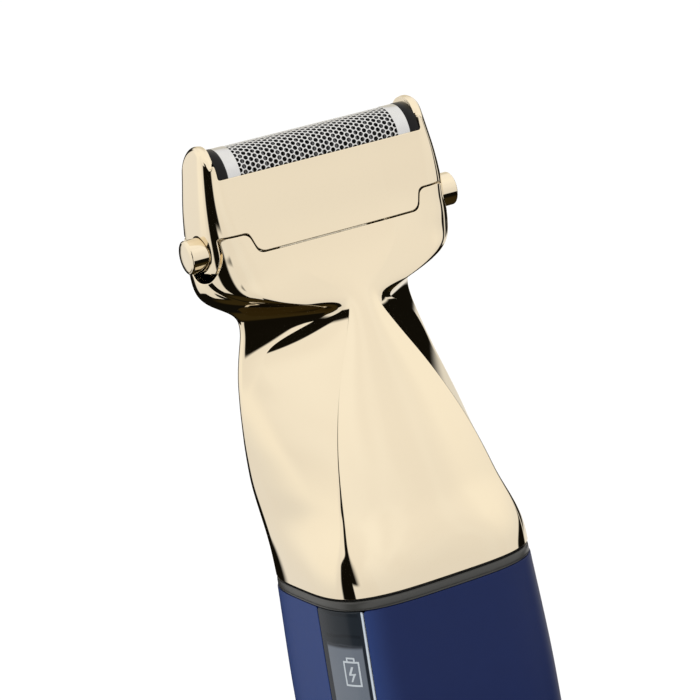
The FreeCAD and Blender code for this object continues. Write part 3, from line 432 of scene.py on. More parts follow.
def rolled_skin(points, normals, field, tail, radius=0.13, steps=4, extra=None):
    """Points, normals and faces of a skin trimmed to field > 0, its cut edge rolled over.

    tail(edge, normal, beyond) gives rows of (points, normals) past the roll, beyond being the
    direction out of the trimmed skin; extra(points) adds to the roll's radius.
    """
    points, normals, faces, cut_edges, first_cut = clip_grid(
        points, normals, field(points) - radius)
    edge, normal = points[first_cut:], normals[first_cut:]
    slope = gradient(field, edge)
    beyond = unit(-(slope - (slope * normal).sum(1, keepdims=True) * normal))
    count = len(edge)
    roll = np.full((count, 1), radius) + (extra(edge)[:, None] if extra else 0.0)
    rows = []
    for i in range(1, steps + 1):
        angle = 0.5 * math.pi * i / steps
        rows.append((edge + roll * math.sin(angle) * beyond
                     - roll * (1 - math.cos(angle)) * normal,
                     math.cos(angle) * normal + math.sin(angle) * beyond))
    rows += tail(rows[-1][0], normal, beyond)
    for vertex_1, vertex_2 in cut_edges:
        for row in range(len(rows)):
            here, there = row * count, (row + 1) * count
            faces.append((vertex_2 + here, vertex_1 + here, vertex_1 + there, vertex_2 + there))
    return (np.concatenate([points] + [row[0] for row in rows]),
            np.concatenate([normals] + [row[1] for row in rows]), faces)


def add_mesh(name, material, points, normals, faces, base=JOINT_M, smooth=True):
    """Mesh object from millimetre points, raised by base metres; unused points are dropped."""
    used = np.zeros(len(points), bool)
    for face in faces:
        used[list(face)] = True
    new_index = np.cumsum(used) - 1
    places = points[used] * 0.001
    places[:, 2] += base
    mesh = bpy.data.meshes.new(name)
    mesh.from_pydata(places.tolist(), [], [tuple(int(new_index[i]) for i in f) for f in faces])
    mesh.validate(clean_customdata=False)
    mesh.update()
    made = bpy.data.objects.new(name, mesh)
    bpy.context.collection.objects.link(made)
    mesh.materials.append(materials[material])
    if smooth:
        mesh.polygons.foreach_set("use_smooth", [True] * len(mesh.polygons))
    if normals is not None:
        mesh.normals_split_custom_set_from_vertices(unit(normals[used]).tolist())
    return made


def add_loft(name, material, rows, sharp_angle, base=JOINT_M, capped=False, ring=True):
    """Mesh over rows of points, each row an (n, 3) array; sharp_angle is in degrees."""
    count = len(rows[0])
    faces = []
    for j in range(len(rows) - 1):
        for i in range(count if ring else count - 1):
            k = (i + 1) % count
            faces.append((j * count + i, j * count + k, (j + 1) * count + k,
                          (j + 1) * count + i))
    if capped:
        faces.append(tuple(range(count - 1, -1, -1)))
        faces.append(tuple((len(rows) - 1) * count + i for i in range(count)))
    made = add_mesh(name, material, np.concatenate(rows), None, faces, base)
    made.data.set_sharp_from_angle(angle=math.radians(sharp_angle))
    return made


def register(made, carrier, replaced=None):
    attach(made, carrier)
    if replaced:
        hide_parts(replaced)


# ------------------------------------------------------------------ neck and cassette surface
# Stations of the right half's cross-section: (height above the joint, value).
# y of the front and of the rear
FRONT_Y = [(0, -16.2), (5, -15.4), (10, -14.2), (15, -12.75), (20, -11.1), (25, -9.3),
           (30, -7.5), (35, -5.8), (40, -4.1), (45, -2.3), (50, -0.75), (54, 0.1), (59, 0.72),
           (63, 1.22), (69, 1.6)]
REAR_Y = [(0, 16.2), (8, 15.6), (14, 14.6), (20, 13.4), (25, 12.6), (30, 12.4), (35, 12.3),
          (38, 12.0), (41, 11.9), (46, 12.1), (54, 12.05), (63, 10.98), (69, 10.6)]
# front corner: x, y and rounding radius
FRONT_CORNER_X = [(0, 15.6), (2, 15.2), (5, 14.6), (10, 13.7), (15, 12.6), (20, 11.3), (25, 9.6),
                  (30, 7.5), (35, 5.0), (38, 3.5), (40, 2.6), (41.5, 2.1), (43, 2.6), (45, 5.0),
                  (48, 8.0), (52, 9.0), (69, 9.0)]
FRONT_CORNER_Y = [(0, -12.2), (2, -12.0), (5, -11.6), (10, -10.9), (15, -9.85), (20, -8.6),
                  (25, -7.25), (30, -5.9), (35, -4.7), (38, -4.05), (40, -3.65), (41.5, -3.3),
                  (43, -2.85), (45, -2.25), (48, -1.35), (52, -0.3), (54, 0.13), (59, 0.75),
                  (63, 1.25), (69, 1.63)]
FRONT_CORNER_R = [(0, 3.6), (3, 2.8), (6, 2.0), (10, 1.4), (15, 0.9), (20, 0.55), (25, 0.35),
                  (30, 0.25), (41, 0.25), (45, 0.8), (69, 1.0)]
# middle corner: the side's bend low down, the valley under the head, then the head's front
# corner. x, y, rounding radius, and outward bow from here to the rear corner
MIDDLE_X = [(0, 17.3), (5, 16.9), (10, 16.5), (15, 16.9), (20, 16.8), (25, 16.1), (28, 15.4),
            (30, 14.9), (32, 14.3), (33.5, 13.8), (35, 13.1), (36, 12.3), (37, 10.9), (38, 9.2),
            (39, 7.3), (40, 5.3), (40.8, 3.9), (41.4, 4.2), (42, 7.4), (43, 12.2), (44, 15.2),
            (45, 17.5), (46, 18.8), (47, 19.7), (48, 20.2), (50, 20.5), (54, 20.45), (59, 20.0),
            (63, 19.4), (66, 18.9), (69, 18.3)]
MIDDLE_Y = [(0, -3.0), (5, -1.2), (10, 0.2), (15, 1.6), (20, 3.3), (25, 4.9), (28, 5.7),
            (30, 6.1), (32, 6.5), (33.5, 6.8), (35, 6.6), (36, 5.8), (37, 4.2), (38, 2.3),
            (39, 0.3), (40, -1.5), (40.8, -2.6), (41.4, -2.9), (42, -2.5), (43, -1.9),
            (44, -1.45), (45, -1.05), (46, -0.7), (47, -0.35), (48, -0.1), (50, 0.0), (54, 0.45),
            (59, 1.05), (63, 1.5), (69, 1.9)]
MIDDLE_R = [(0, 60), (28, 60), (31, 20), (33, 8), (34.5, 3.0), (36, 1.2), (38, 0.5), (40, 0.25),
            (41, 0.3), (42, 0.9), (43, 2.0), (45, 4.5), (47, 7.0), (50, 6.5), (54.6, 4.5),
            (62, 3.0), (69, 2.5)]
MIDDLE_BOW = [(0, 0.0), (41, 0.0), (43, 1.0), (44, 1.3), (45, 1.2), (46, 0.9), (48, 0.3),
              (50, 0.1), (69, 0.0)]
# rear corner: x and rounding radius
REAR_CORNER_X = [(0, 17.5), (10, 17.5), (20, 17.7), (25, 17.8), (30, 17.4), (35, 16.6),
                 (38, 16.2), (41, 17.0), (42.5, 19.0), (44, 20.5), (46, 21.1), (50, 20.9),
                 (54, 20.45), (59, 20.0), (63, 19.4), (66, 18.9), (69, 18.3)]
REAR_CORNER_R = [(0, 9.0), (5, 7.5), (10, 5.5), (16, 3.6), (25, 2.4), (34, 1.6), (41, 1.8),
                 (46, 2.0), (54, 1.4), (69, 1.2)]
REAR_DOME = 0.25        # how far the rear swells past its corners
SKIN_TOP = 72.0
POLE_STEP = 0.75        # height between rows of spline poles
SMOOTHING = 0.9         # spread of the smoothing along the height
BASE_BLEND = 12.0       # height over which the neck leaves the grip's outline


def section(z):
    """Closed cross-section at height z, from the front middle round by +x."""
    front, rear = interp(FRONT_Y, z), interp(REAR_Y, z)
    rear_middle = rear + REAR_DOME
    edge = (interp(FRONT_CORNER_X, z), max(interp(FRONT_CORNER_Y, z), front + 0.02))
    middle = (interp(MIDDLE_X, z), interp(MIDDLE_Y, z))
    rear_corner = (interp(REAR_CORNER_X, z), rear)
    dome = front - edge[1]
    edge_inner = (edge[0] * 0.6, edge[1] + dome * 0.64)
    edge_arc = round_corner(edge_inner, edge, middle, interp(FRONT_CORNER_R, z), 6)
    middle_arc = round_corner(edge, middle, rear_corner, interp(MIDDLE_R, z), 9)
    rear_arc = round_corner(middle, rear_corner, (0.0, rear_middle),
                            interp(REAR_CORNER_R, z), 7)
    half = []
    for i in range(6):
        x = edge_arc[0][0] * i / 6
        half.append((x, edge[1] + dome * (1 - (x / edge[0])**2)))
    half += edge_arc + bridge(edge_arc[-1], middle_arc[0]) + middle_arc
    half += bridge(middle_arc[-1], rear_arc[0], interp(MIDDLE_BOW, z)) + rear_arc
    last_x, last_y = rear_arc[-1]
    for i in range(1, 5):
        x = last_x * (1 - i / 5.0)
        half.append((x, last_y + (rear_middle - last_y) * (1 - (x / last_x)**2)))
    half.append((0.0, rear_middle))
    return half + [(-x, y) for x, y in reversed(half[1:-1])]


def blend_to_grip(outlines, heights):
    """The lowest part of the neck takes the outline of the grip."""
    weight = smooth_ramp(heights, BASE_BLEND, 0)[:, None, None]
    radius = np.hypot(outlines[..., 0], outlines[..., 1])
    target = grip_radius(outlines[..., 0] / radius, outlines[..., 1] / radius, GRIP_A, GRIP_B)
    return outlines * (1 + (target / radius - 1)[..., None] * weight)


def surface_poles():
    """Spline poles (rows, columns, xyz): the sections, smoothed along the height."""
    count = int(round(SKIN_TOP / POLE_STEP))
    heights = np.array([SKIN_TOP * i / count for i in range(count + 1)])
    outlines = blend_to_grip(np.array([section(z) for z in heights]), heights)
    pad = 12
    low = 2 * outlines[:1] - outlines[1:pad + 1][::-1]
    high = 2 * outlines[-1:] - outlines[-pad - 1:-1][::-1]
    padded = np.concatenate([low, outlines, high])
    kernel = np.exp(-0.5 * (np.arange(-pad, pad + 1) * POLE_STEP / SMOOTHING)**2)
    kernel /= kernel.sum()
    smoothed = sum(kernel[i] * padded[i:i + len(outlines)] for i in range(2 * pad + 1))
    z = np.broadcast_to(heights[:, None, None], (*smoothed.shape[:2], 1))
    return np.concatenate([smoothed, z], 2)


POLES = surface_poles()


def skin_grid(heights):
    """Points and outward normals on the surface, wrapping along the second axis."""
    row_count, column_count = POLES.shape[:2]
    round_at = np.linspace(0, column_count, 1040 // COARSEN, endpoint=False)
    up_at = np.clip(np.array(heights) / POLE_STEP, 0, row_count - 1.001)
    round_index, round_weights, round_slopes = spline_weights(round_at, column_count, True)
    up_index, up_weights, up_slopes = spline_weights(up_at, row_count, False)
    across = np.einsum('uk,zukc->zuc', round_weights, POLES[:, round_index])
    across_slope = np.einsum('uk,zukc->zuc', round_slopes, POLES[:, round_index])
    points = np.einsum('vk,vkuc->vuc', up_weights, across[up_index])
    round_tangent = np.einsum('vk,vkuc->vuc', up_weights, across_slope[up_index])
    up_tangent = np.einsum('vk,vkuc->vuc', up_slopes, across[up_index])
    return points, unit(np.cross(round_tangent, up_tangent))


# ------------------------------------------------------------------ neck and cassette trims
HEAD_Y = 6.1                             # y of the foil's and buttons' axes
FOIL_R, FOIL_Z = 4.35, 62.8              # foil arch: radius and axis height
EAR_IN = 17.1                            # inner face of the cassette's ears
EAR_ARCH_Y, EAR_ARCH_Z = 4.95, 5.6       # half width and height of the arches over the ears
SEAM_HI, SEAM_LO = 54.6, 51.5            # seam's level part, and the bottom of its tab
TAB_HI, TAB_LO = 14.5, 13.5              # half width of the tab at those two heights
TAB_SCALE = 0.952                        # makes x along the slanted tab side a distance
SEAM_GAP = 0.18
SIDE_X = 17.4                            # the tab lies inside this x, the ear discs outside
BUTTON_Z, BUTTON_R, BUTTON_FACE = 52.3, 2.6, 22.9    # axis height, radius, outer face's x
EAR_R = 4.3                              # radius of the seam round the buttons
CAVITY_X, CAVITY_FRONT, CAVITY_REAR, CAVITY_Z = 18.3, 2.1, 10.3, 46.4   # pocket in the neck's top
OPEN_Y = FOIL_R + 0.09                   # half width of the cassette's opening


def mirrored(points):
    """|x|, y and z of the points."""
    return np.abs(points[..., 0]), points[..., 1], points[..., 2]


def seam(points):
    """Rough signed distance from the seam between neck and cassette, positive above it."""
    x, y, z = mirrored(points)
    part = (z - SEAM_LO) / (SEAM_HI - SEAM_LO)
    tab_side = (TAB_LO + (TAB_HI - TAB_LO) * part - x) * TAB_SCALE
    tab = smooth_min(z - SEAM_LO, tab_side, 1.1)
    ear = EAR_R - np.hypot(y - HEAD_Y, np.minimum(z - BUTTON_Z, 0))
    result = smooth_max(z - SEAM_HI, np.where(x < SIDE_X, tab, -50.0), 0.9)
    return smooth_max(result, np.where(x > SIDE_X, ear, -50.0), 0.7)


def crown(points):
    """The same from the cassette's top edge: level walls and the arches over the ears."""
    x, y, z = mirrored(points)
    wall_top = FOIL_Z + 0.2 - z
    reach = np.hypot((y - HEAD_Y) / EAR_ARCH_Y, np.maximum(z - FOIL_Z, 0) / EAR_ARCH_Z)
    arch = (1 - reach) * EAR_ARCH_Y
    return smooth_max(wall_top, smooth_min(x - EAR_IN - 0.1, arch, 0.5), 0.5)


def bore(points):
    """The same from the button holes, positive outside them."""
    x, y, z = mirrored(points)
    return np.where(x > 18.2, np.hypot(y - HEAD_Y, z - BUTTON_Z) - BUTTON_R - 0.16, 50.0)


def neck_field(points):
    return np.minimum(-seam(points) - SEAM_GAP, points[..., 2] - 0.03)


def neck_tail(edge, normal, beyond):
    """At the base a short wall turned up; at the top a ledge, and a pocket with a floor."""
    low = edge[:, 2] < 5
    inner = edge.copy()
    inner[:, 0] = np.where(low, edge[:, 0] - normal[:, 0] * 1.6,
                           np.clip(edge[:, 0], -CAVITY_X, CAVITY_X))
    inner[:, 1] = np.where(low, edge[:, 1] - normal[:, 1] * 1.6,
                           np.clip(edge[:, 1], CAVITY_FRONT, CAVITY_REAR))
    foot = inner.copy()
    foot[:, 2] = np.where(low, 2.0, CAVITY_Z)
    middle = foot.copy()
    middle[:, 0] = np.where(low, foot[:, 0], 0)
    middle[:, 1] = np.where(low, foot[:, 1], HEAD_Y)
    upward = np.tile([0.0, 0.0, 1.0], (len(edge), 1))
    return [(edge, beyond), (inner, beyond), (inner, -normal), (foot, -normal),
            (foot, upward), (middle, upward)]


def ear_round(points):
    """Extra edge radius over the ears."""
    x, _, z = mirrored(points)
    return (0.85 * smooth_ramp(x, EAR_IN + 0.3, EAR_IN + 1.1)
            * smooth_ramp(z, FOIL_Z + 0.4, FOIL_Z + 2.4))


def cassette_field(points):
    return np.minimum(np.minimum(seam(points), crown(points) - ear_round(points)), bore(points))


def cassette_tail(edge, normal, beyond):
    """Edges run in to the opening and down it; ears get a flat inner face, holes a wall."""
    at_seam, at_crown, at_bore = seam(edge), crown(edge), bore(edge)
    is_top = (at_crown < at_seam) & (at_crown < at_bore) & (edge[:, 2] > 60)
    is_bore = at_bore < np.minimum(at_seam, at_crown)
    side = np.sign(edge[:, 0])
    inner = edge.copy()
    inner[:, 0] = np.clip(edge[:, 0], -EAR_IN, EAR_IN)
    inner[:, 1] = np.clip(edge[:, 1], HEAD_Y - OPEN_Y, HEAD_Y + OPEN_Y)
    ear = is_top & (np.abs(edge[:, 0]) > EAR_IN)
    depth = (np.abs(edge[:, 0]) - EAR_IN) / np.maximum(np.abs(normal[:, 0]), 0.3)
    depth = np.clip(depth, 0, 2.4)
    inner[ear] = (edge - normal * depth[:, None])[ear]
    inner[ear, 0] = (side * np.maximum(np.abs(inner[:, 0]), EAR_IN))[ear]
    inner[is_bore] = (edge - side[:, None] * np.array([2.0, 0, 0]))[is_bore]
    foot = inner.copy()
    foot[:, 2] = np.where(is_bore, inner[:, 2], 59.0)
    inward = -normal
    inward[ear] = np.stack([-side, 0 * side, 0 * side], 1)[ear]
    return [(edge, beyond), (inner, beyond), (inner, inward), (foot, inward)]


def build_neck():
    heights = np.concatenate([np.arange(0.0, 47.0, 0.3 * COARSEN),
                              np.arange(47.0, 57.0, 0.13 * COARSEN)])
    shell = rolled_skin(*skin_grid(heights), neck_field, neck_tail)
    register(add_mesh("neck_shell", "champagne_chrome", *shell),
             "shaver_body", "neck_housing")


def build_cassette():
    step = 0.14 * COARSEN
    shell = rolled_skin(*skin_grid(np.arange(49.5, 69.6 + step * 0.5, step)),
                        cassette_field, cassette_tail, steps=8, extra=ear_round)
    register(add_mesh("cassette_shell", "champagne_chrome_cassette", *shell),
             "foil_cassette", "foil_frame")


# ------------------------------------------------------------------ release buttons
def build_release_cap(side, tag):
    """Turned button with a rounded rim and a faintly domed face."""
    round_r = 0.30
    shoulder = BUTTON_FACE - 0.42
    profile = [(19.2, 0.01), (19.2, BUTTON_R), (shoulder, BUTTON_R)]     # |x|, radius
    for i in range(1, 9):
        angle = 0.5 * math.pi * i / 8
        profile.append((shoulder + round_r * math.sin(angle),
                        BUTTON_R - round_r * (1 - math.cos(angle))))
    # depth behind the face, radius
    dome = [(0.10, 2.22), (0.06, 2.1), (0.03, 1.9), (0.01, 1.4), (0.0, 0.7), (0.0, 0.01)]
    profile += [(BUTTON_FACE - depth, radius) for depth, radius in dome]
    turn = np.linspace(0, 2 * math.pi, 96, endpoint=False)
    rows = [np.stack([np.full_like(turn, side * x), HEAD_Y + radius * np.cos(turn) * side,
                      BUTTON_Z + radius * np.sin(turn)], 1)[::-1] for x, radius in profile]
    cap = add_loft("release_cap_" + tag, "champagne_chrome_buttons", rows, sharp_angle=50,
                   capped=True)
    register(cap, "release_" + tag, "release_button_" + tag)


# ------------------------------------------------------------------ perforated foil
PITCH = 0.85                               # between holes, in a hexagonal pattern
COLUMN_PITCH = PITCH * math.sqrt(3) / 2
HOLE_R = 0.356
FOIL_HALF_X = 14.3
QUARTER_ARC = FOIL_R * math.pi / 2
FOIL_REACH = QUARTER_ARC + 1.6             # along the foil from its top line to its lower edge


def build_foil():
    """Hexagonal cells wrapped over the arch, each with a round hole that has a short wall."""
    vertices, faces, known = [], [], {}

    def vertex(x, along, radius):
        """Index of the shared vertex at x and a distance along the foil from its top line."""
        key = (round(x * 2000), round(along * 2000), round(radius * 2000))
        if key not in known:
            if abs(along) <= QUARTER_ARC:
                angle = along / FOIL_R
                place = (x, HEAD_Y + radius * math.sin(angle), FOIL_Z + radius * math.cos(angle))
            else:
                place = (x, HEAD_Y + math.copysign(radius, along),
                         FOIL_Z - (abs(along) - QUARTER_ARC))
            known[key] = len(vertices)
            vertices.append(place)
        return known[key]

    turns = [math.radians(30 * k) for k in range(12)]
    directions = [(math.cos(turn), math.sin(turn)) for turn in turns]
    # the cell's outline alternates hexagon corners and side middles
    cell_radii = [PITCH / 2 / math.cos(math.radians(30)), PITCH / 2] * 6
    columns = int(FOIL_HALF_X / COLUMN_PITCH)
    rows = int(FOIL_REACH / PITCH)
    for column in range(-columns, columns + 1):
        middle_x = column * COLUMN_PITCH
        shift = 0.5 * PITCH if column % 2 else 0.0
        for row in range(-rows, rows + 1):
            middle = row * PITCH + shift
            if abs(middle) > FOIL_REACH - 0.4:
                continue

            def around(direction, distance, radius):
                return vertex(middle_x + distance * direction[0],
                              middle + distance * direction[1], radius)

            cell, lip, deep = [], [], []
            for direction, cell_radius in zip(directions, cell_radii):
                cell.append(around(direction, cell_radius, FOIL_R))
                lip.append(around(direction, HOLE_R, FOIL_R - 0.012))
                deep.append(around(direction, HOLE_R, FOIL_R - 0.11))
            rim = [around(direction, HOLE_R + 0.035, FOIL_R) for direction in directions]
            for k in range(12):
                j = (k + 1) % 12
                for outer, inner in ((cell, rim), (rim, lip), (lip, deep)):
                    faces.append((outer[k], outer[j], inner[j], inner[k]))
    register(add_mesh("foil_mesh", "foil_steel", np.array(vertices), None, faces),
             "foil_cassette", "foil_screen")


# Arch profiles: |x|, radius beyond the foil
BAND_PROFILE = [(13.35, -0.02), (13.40, 0.03), (13.5, 0.05), (14.3, 0.06), (15.2, 0.05),
                (15.45, 0.03), (15.5, -0.02), (15.5, -0.08), (13.35, -0.08), (13.35, -0.02)]
END_ARCH_PROFILE = [(15.52, -0.6), (15.52, 0.0), (15.56, 0.05), (15.66, 0.09), (16.2, 0.10),
                    (16.95, 0.09), (17.04, 0.04), (17.06, -0.05), (17.06, -0.6), (15.52, -0.6)]


def add_arch(name, material, side, profile, drop):
    """Profile swept over the foil's arch, with straight legs of length drop."""
    rows = []
    for x, offset in profile:
        radius = FOIL_R + offset
        row = [(side * x, HEAD_Y - radius, FOIL_Z - drop)]
        for i in range(65):
            angle = -math.pi / 2 + math.pi * i / 64
            row.append((side * x, HEAD_Y + radius * math.sin(angle),
                        FOIL_Z + radius * math.cos(angle)))
        row.append((side * x, HEAD_Y + radius, FOIL_Z - drop))
        rows.append(np.array(row)[::side])
    return add_loft(name, material, rows, sharp_angle=40, ring=False)


def build_foil_end(side, tag):
    """Plain steel band at the foil's end, and the black arch beyond it."""
    band = add_arch("foil_band_" + tag, "foil_steel", side, BAND_PROFILE, drop=1.5)
    register(band, "foil_cassette", "foil_screen")
    arch = add_arch("end_arch_" + tag, "black_plastic", side, END_ARCH_PROFILE, drop=2.5)
    register(arch, "foil_cassette")


# ------------------------------------------------------------------ grip: sleeve, strip, collar
# height, scale of the outline at the joint
SWELL = [(0, 0.90), (3, 0.945), (12, 0.972), (30, 1.01), (55, 1.042), (84, 1.04), (106, 1.0)]
STRIP_HALF, STRIP_LOW = 4.75, 34.0       # half width, height of its round lower end
PILL_Z, PILL_STRAIGHT, PILL_R = 58.0, 4.0, 3.16    # opening: middle, half straight, end radius
WINDOW_PROUD = 0.02                      # the strip stands this far out of the sleeve
GRIP_COLUMNS = 960 // COARSEN
GRIP_HEIGHTS = np.concatenate([np.arange(3.9, 30, 0.5), np.arange(30, 104.4, 0.3 * COARSEN)])


def grip_ring(z, inset, count):
    scale = interp(SWELL, z)
    turn = 2 * math.pi * np.arange(count) / count - math.pi / 2
    cosine, sine = np.cos(turn), np.sin(turn)
    radius = grip_radius(cosine, sine, GRIP_A * scale - inset, GRIP_B * scale - inset)
    return np.stack([radius * cosine, radius * sine, np.full(count, z)], 1)


def grip_grid(inset):
    """Points and outward normals on the grip, wrapping along the second axis."""
    points = np.array([grip_ring(z, inset, GRIP_COLUMNS) for z in GRIP_HEIGHTS])
    round_tangent = np.roll(points, -1, 1) - np.roll(points, 1, 1)
    return points, unit(np.cross(round_tangent, np.gradient(points, axis=0)))


def strip_across(points):
    return points[..., 0] * ACROSS_X + points[..., 1] * ACROSS_Y - STRIP_MID


def strip_distance(points):
    """Distance outside the strip's outline; far away on the grip's other sides."""
    outward = points[..., 0] * STRIP_NX + points[..., 1] * STRIP_NY
    below = np.minimum(points[..., 2] - (STRIP_LOW + STRIP_HALF), 0)
    distance = np.hypot(strip_across(points), below) - STRIP_HALF
    return np.where(outward > 0, distance, 50.0)


def pill_distance(points):
    """Distance outside the upright pill-shaped opening in the strip."""
    past = np.maximum(np.abs(points[..., 2] - PILL_Z) - PILL_STRAIGHT, 0)
    return np.hypot(strip_across(points), past) - PILL_R


def sleeve_field(points):
    z = points[..., 2]
    return np.minimum(np.minimum(strip_distance(points), (JOINT - 1.85) - z), z - 4.0)


def window_field(points):
    inside = np.minimum(-strip_distance(points) - 0.08, (JOINT - 1.87) - points[..., 2])
    return np.minimum(inside, pill_distance(points))


def wall_tail(depth):
    """A wall going straight in from the rolled edge."""
    return lambda edge, normal, beyond: [(edge, beyond), (edge - normal * depth, beyond)]


def build_grip_shells():
    sleeve = rolled_skin(*grip_grid(0.0), sleeve_field, wall_tail(1.1), radius=0.12)
    register(add_mesh("sleeve_shell", "blue_paint", *sleeve, base=0.0),
             "shaver_body", "handle_sleeve")
    window = rolled_skin(*grip_grid(-WINDOW_PROUD), window_field, wall_tail(1.4), radius=0.22)
    register(add_mesh("strip_window", "smoked_window", *window, base=0.0),
             "shaver_body", "display_window")


def on_window(across, z, lift):
    """Point above the strip's surface, at a distance across from its middle line."""
    scale = interp(SWELL, z)
    half_x, half_y = GRIP_A * scale + WINDOW_PROUD, GRIP_B * scale + WINDOW_PROUD
    across += STRIP_MID

    def place(outward):
        return (STRIP_NX * outward + ACROSS_X * across, STRIP_NY * outward + ACROSS_Y * across)

    low, high = 5.0, 30.0
    for _ in range(40):
        outward = 0.5 * (low + high)
        x, y = place(outward)
        if abs(x / half_x) ** GRIP_POWER + abs(y / half_y) ** GRIP_POWER > 1:
            high = outward
        else:
            low = outward
    return (*place(outward + lift), z)


# Battery mark: middle across and up, half width, half height, line width
MARK_U, MARK_Z, MARK_W, MARK_H, MARK_LINE = 1.5, 94.6, 1.5, 1.95, 0.27
NUB_W, NUB_H, NUB_LINE = 0.8, 0.6, 0.24      # terminal: half width, height, top line width


def bar(left, low, right, high):
    return ((left, low), (right, low), (right, high), (left, high))


# Quads round the mark's middle: (across, up)
BATTERY = [
    bar(-MARK_W, -MARK_H, -MARK_W + MARK_LINE, MARK_H),
    bar(MARK_W - MARK_LINE, -MARK_H, MARK_W, MARK_H),
    bar(-MARK_W, -MARK_H, MARK_W, -MARK_H + MARK_LINE),
    bar(-MARK_W, MARK_H - MARK_LINE, MARK_W, MARK_H),
    bar(-NUB_W, MARK_H, -NUB_W + MARK_LINE, MARK_H + NUB_H),
    bar(NUB_W - MARK_LINE, MARK_H, NUB_W, MARK_H + NUB_H),
    bar(-NUB_W, MARK_H + NUB_H - NUB_LINE, NUB_W, MARK_H + NUB_H),
    # the flash: upper stroke, crossing stroke, lower stroke
    ((-0.05, 1.1), (0.35, 1.1), (-0.22, -0.12), (-0.66, -0.12)),
    ((-0.66, -0.12), (0.66, 0.1), (0.66, -0.14), (-0.6, -0.3)),
    ((0.66, 0.08), (0.24, 0.02), (-0.38, -1.25), (-0.1, -1.25)),
]


def build_battery_mark():
    """Thin raised print laid on the strip, each quad cut into pieces that follow the curve."""
    pieces = 6
    under = 2 * (pieces + 1)      # from a top vertex to the one beneath it
    vertices, faces = [], []
    for quad in BATTERY:
        first = len(vertices)
        corners = [(MARK_U + across, MARK_Z + z) for across, z in quad]
        for lift in (0.035, -0.03):
            for j in range(pieces + 1):
                t = j / pieces
                for start, end in ((corners[0], corners[1]), (corners[3], corners[2])):
                    vertices.append(on_window(start[0] + (end[0] - start[0]) * t,
                                              start[1] + (end[1] - start[1]) * t, lift))
        for j in range(pieces):
            a = first + 2 * j
            b, c, d = a + 2, a + 3, a + 1
            faces += [(a, b, c, d), (d + under, c + under, b + under, a + under),
                      (b, a, a + under, b + under), (d, c, c + under, d + under)]
        last = first + 2 * pieces
        faces += [(first, first + 1, first + 1 + under, first + under),
                  (last + 1, last, last + under, last + 1 + under)]
    mark = add_mesh("battery_mark", "mark_grey", np.array(vertices), None, faces, base=0.0,
                    smooth=False)
    register(mark, "shaver_body")


# inset from the grip's outline, height from the joint
COLLAR_PROFILE = [(1.9, -1.72), (0.35, -1.72), (0.2, -1.68), (0.12, -1.55), (0.1, -1.3),
                  (0.1, -0.75), (0.13, -0.5), (0.22, -0.4), (0.4, -0.36), (1.9, -0.36)]


def build_collar():
    rows = [grip_ring(JOINT + z, inset, 240) for inset, z in COLLAR_PROFILE]
    collar = add_loft("collar_band", "collar_grey", rows, sharp_angle=50, base=0.0)
    register(collar, "shaver_body")


build_neck()
build_cassette()
for side, tag in SIDES:
    build_release_cap(side, tag)
build_foil()
for side, tag in SIDES:
    build_foil_end(side, tag)
build_grip_shells()
build_battery_mark()
build_collar()


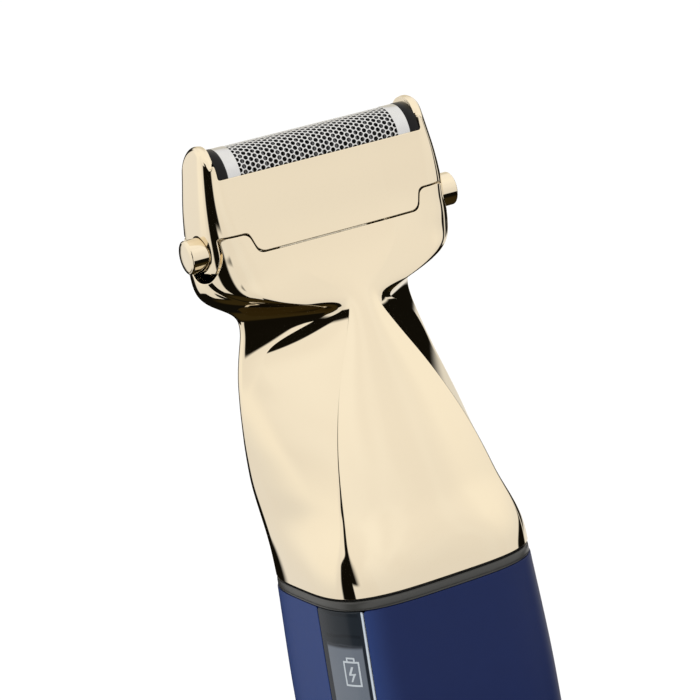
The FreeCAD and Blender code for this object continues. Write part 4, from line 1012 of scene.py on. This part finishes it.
# ------------------------------------------------------------------ studio
def build_world():
    """Even white light, and for reflections a white tent with dark gaps and a dark floor.

    Angles are in degrees: left is the azimuth from the front (-Y) towards -X, right the same
    towards +X, and rise the elevation.
    """
    world = bpy.data.worlds.new("studio")
    bpy.context.scene.world = world
    graph = Graph(world)
    times, step, inverse, band, mix = (graph.times, graph.step, graph.inverse, graph.band,
                                       graph.mix)
    direction = graph.add("TexCoord").outputs["Generated"]
    x, y, z = graph.add("SeparateXYZ", {0: direction}).outputs
    degrees = 180.0 / math.pi
    left = times(graph.math("ARCTAN2", times(x, -1.0), times(y, -1.0)), degrees)
    limited = graph.math("MAXIMUM", graph.math("MINIMUM", z, 1.0), -1.0)
    rise = times(graph.math("ARCSINE", limited), degrees)
    right = times(left, -1.0)
    off_front = graph.math("ABSOLUTE", left)

    # the tent's lower edge dips in two places on the left
    dip_side = times(band(left, 84, 92, 118, 130), 16.0)
    dip_front = times(band(left, 20, 28, 56, 62), 18.0)
    lit = step(graph.plus(rise, graph.plus(dip_side, dip_front)), -22, -19)

    # dark gap at the left front: its far edge comes nearer higher up, its near foot is lit
    far_edge = graph.minus(93.0, times(step(rise, 7, 21), 27.0))
    past = step(graph.minus(left, far_edge), 0.0, 5.0)
    near_foot = times(inverse(step(left, 56, 62)), inverse(step(rise, -6, -2)))
    gap_left = times(step(left, 40, 46), inverse(past), inverse(step(rise, 33, 38)),
                     inverse(near_foot))
    # dark gap at the right rear, low dark wedge at the right, dark patch behind
    gap_right = times(band(right, 104, 110, 136, 141), step(rise, -14, -11),
                      inverse(step(rise, 7, 11)))
    slope = times(graph.minus(right, 66.0), 0.85)
    wedge = times(band(right, 66, 70, 97, 103),
                  inverse(step(graph.minus(rise, slope), -27, -24)))
    behind = times(step(off_front, 159, 164), inverse(step(rise, 18, 30)))
    light = times(lit, inverse(gap_left), inverse(gap_right), inverse(wedge), inverse(behind))

    # tent: brighter upwards, clouded, warmer at the right rear
    tent = mix(step(rise, -24, 40), first=(0.93, 0.91, 0.885), second=(1.16, 1.13, 1.08))
    cloud = step(graph.noise(scale=2.3, detail=1.5, vector=direction), 0.35, 0.65)
    tent = mix(times(cloud, 0.30), tent, second=(0.93, 0.875, 0.82))
    warm = times(step(right, 132, 142), inverse(step(rise, 30, 50)))
    tent = mix(warm, tent, second=(0.80, 0.74, 0.62))
    # soft boxes at the left rear, the right and overhead
    box_left = times(band(left, 104, 118, 140, 156), step(rise, -16, 4))
    box_right = times(band(right, 36, 60, 76, 100), step(rise, -8, 20))
    box_top = step(rise, 48, 70)
    boxes = graph.math("MAXIMUM", graph.math("MAXIMUM", box_left, box_right), box_top)
    tent = mix(times(boxes, 0.6), tent, second=(1.22, 1.18, 1.10))
    dark = mix(step(rise, -52, -38), first=(0.035, 0.024, 0.007), second=(0.006, 0.005, 0.003))

    reflected = graph.add("Background", {0: mix(light, dark, tent)})
    even = graph.add("Background", {"Color": (1, 1, 1), "Strength": 1.06})
    glossy = graph.add("LightPath").outputs["Is Glossy Ray"]
    shader = graph.add("MixShader", {0: glossy, 1: even.outputs[0], 2: reflected.outputs[0]})
    graph.add("OutputWorld", {0: shader.outputs[0]})


def build_floor():
    half = 3.0
    mesh = bpy.data.meshes.new("floor")
    mesh.from_pydata([(-half, -half, 0), (half, -half, 0), (half, half, 0), (-half, half, 0)],
                     [], [(0, 1, 2, 3)])
    floor = bpy.data.objects.new("floor", mesh)
    bpy.context.collection.objects.link(floor)
    mesh.materials.append(plain_finish("floor_paint", colour=(0.97, 0.97, 0.97), rough=0.8,
                                       colour_vary=0.01))
    floor.visible_glossy = False


def build_key_light():
    """Square light at the left front, not seen in reflections."""
    light = bpy.data.lights.new("key", "AREA")
    light.shape = "RECTANGLE"
    light.size = light.size_y = 0.8
    light.energy = 2.5
    key = bpy.data.objects.new("key", light)
    bpy.context.collection.objects.link(key)
    place, aim = Vector((-0.9, -0.5, 0.6)), Vector((0, 0, 0.12))
    key.location = place
    key.rotation_euler = (aim - place).to_track_quat("-Z", "Y").to_euler()
    key.visible_glossy = False


def build_camera():
    azimuth = math.radians(25.17)      # from the front towards the left
    elevation = math.radians(12.02)
    roll = math.radians(10.64)
    distance = 0.420                   # from the joint, metres
    shift_right, shift_up = -0.00779, 0.03158
    back = Vector((-math.sin(azimuth) * math.cos(elevation),
                   -math.cos(azimuth) * math.cos(elevation), math.sin(elevation)))
    level_right = Vector((math.cos(azimuth), -math.sin(azimuth), 0))
    level_up = back.cross(level_right)
    right = level_right * math.cos(roll) - level_up * math.sin(roll)
    up = level_up * math.cos(roll) + level_right * math.sin(roll)
    data = bpy.data.cameras.new("camera")
    data.sensor_width = 36.0
    data.lens = 140.729143
    data.clip_start = 0.01
    camera = bpy.data.objects.new("camera", data)
    bpy.context.collection.objects.link(camera)
    pose = Matrix((right, up, back)).transposed().to_4x4()
    pose.translation = (back * distance + right * shift_right + up * shift_up
                        + Vector((0, 0, JOINT_M)))
    camera.matrix_world = pose
    bpy.context.scene.camera = camera


build_world()
build_floor()
build_key_light()
build_camera()
bpy.context.scene.view_settings.view_transform = "Standard"
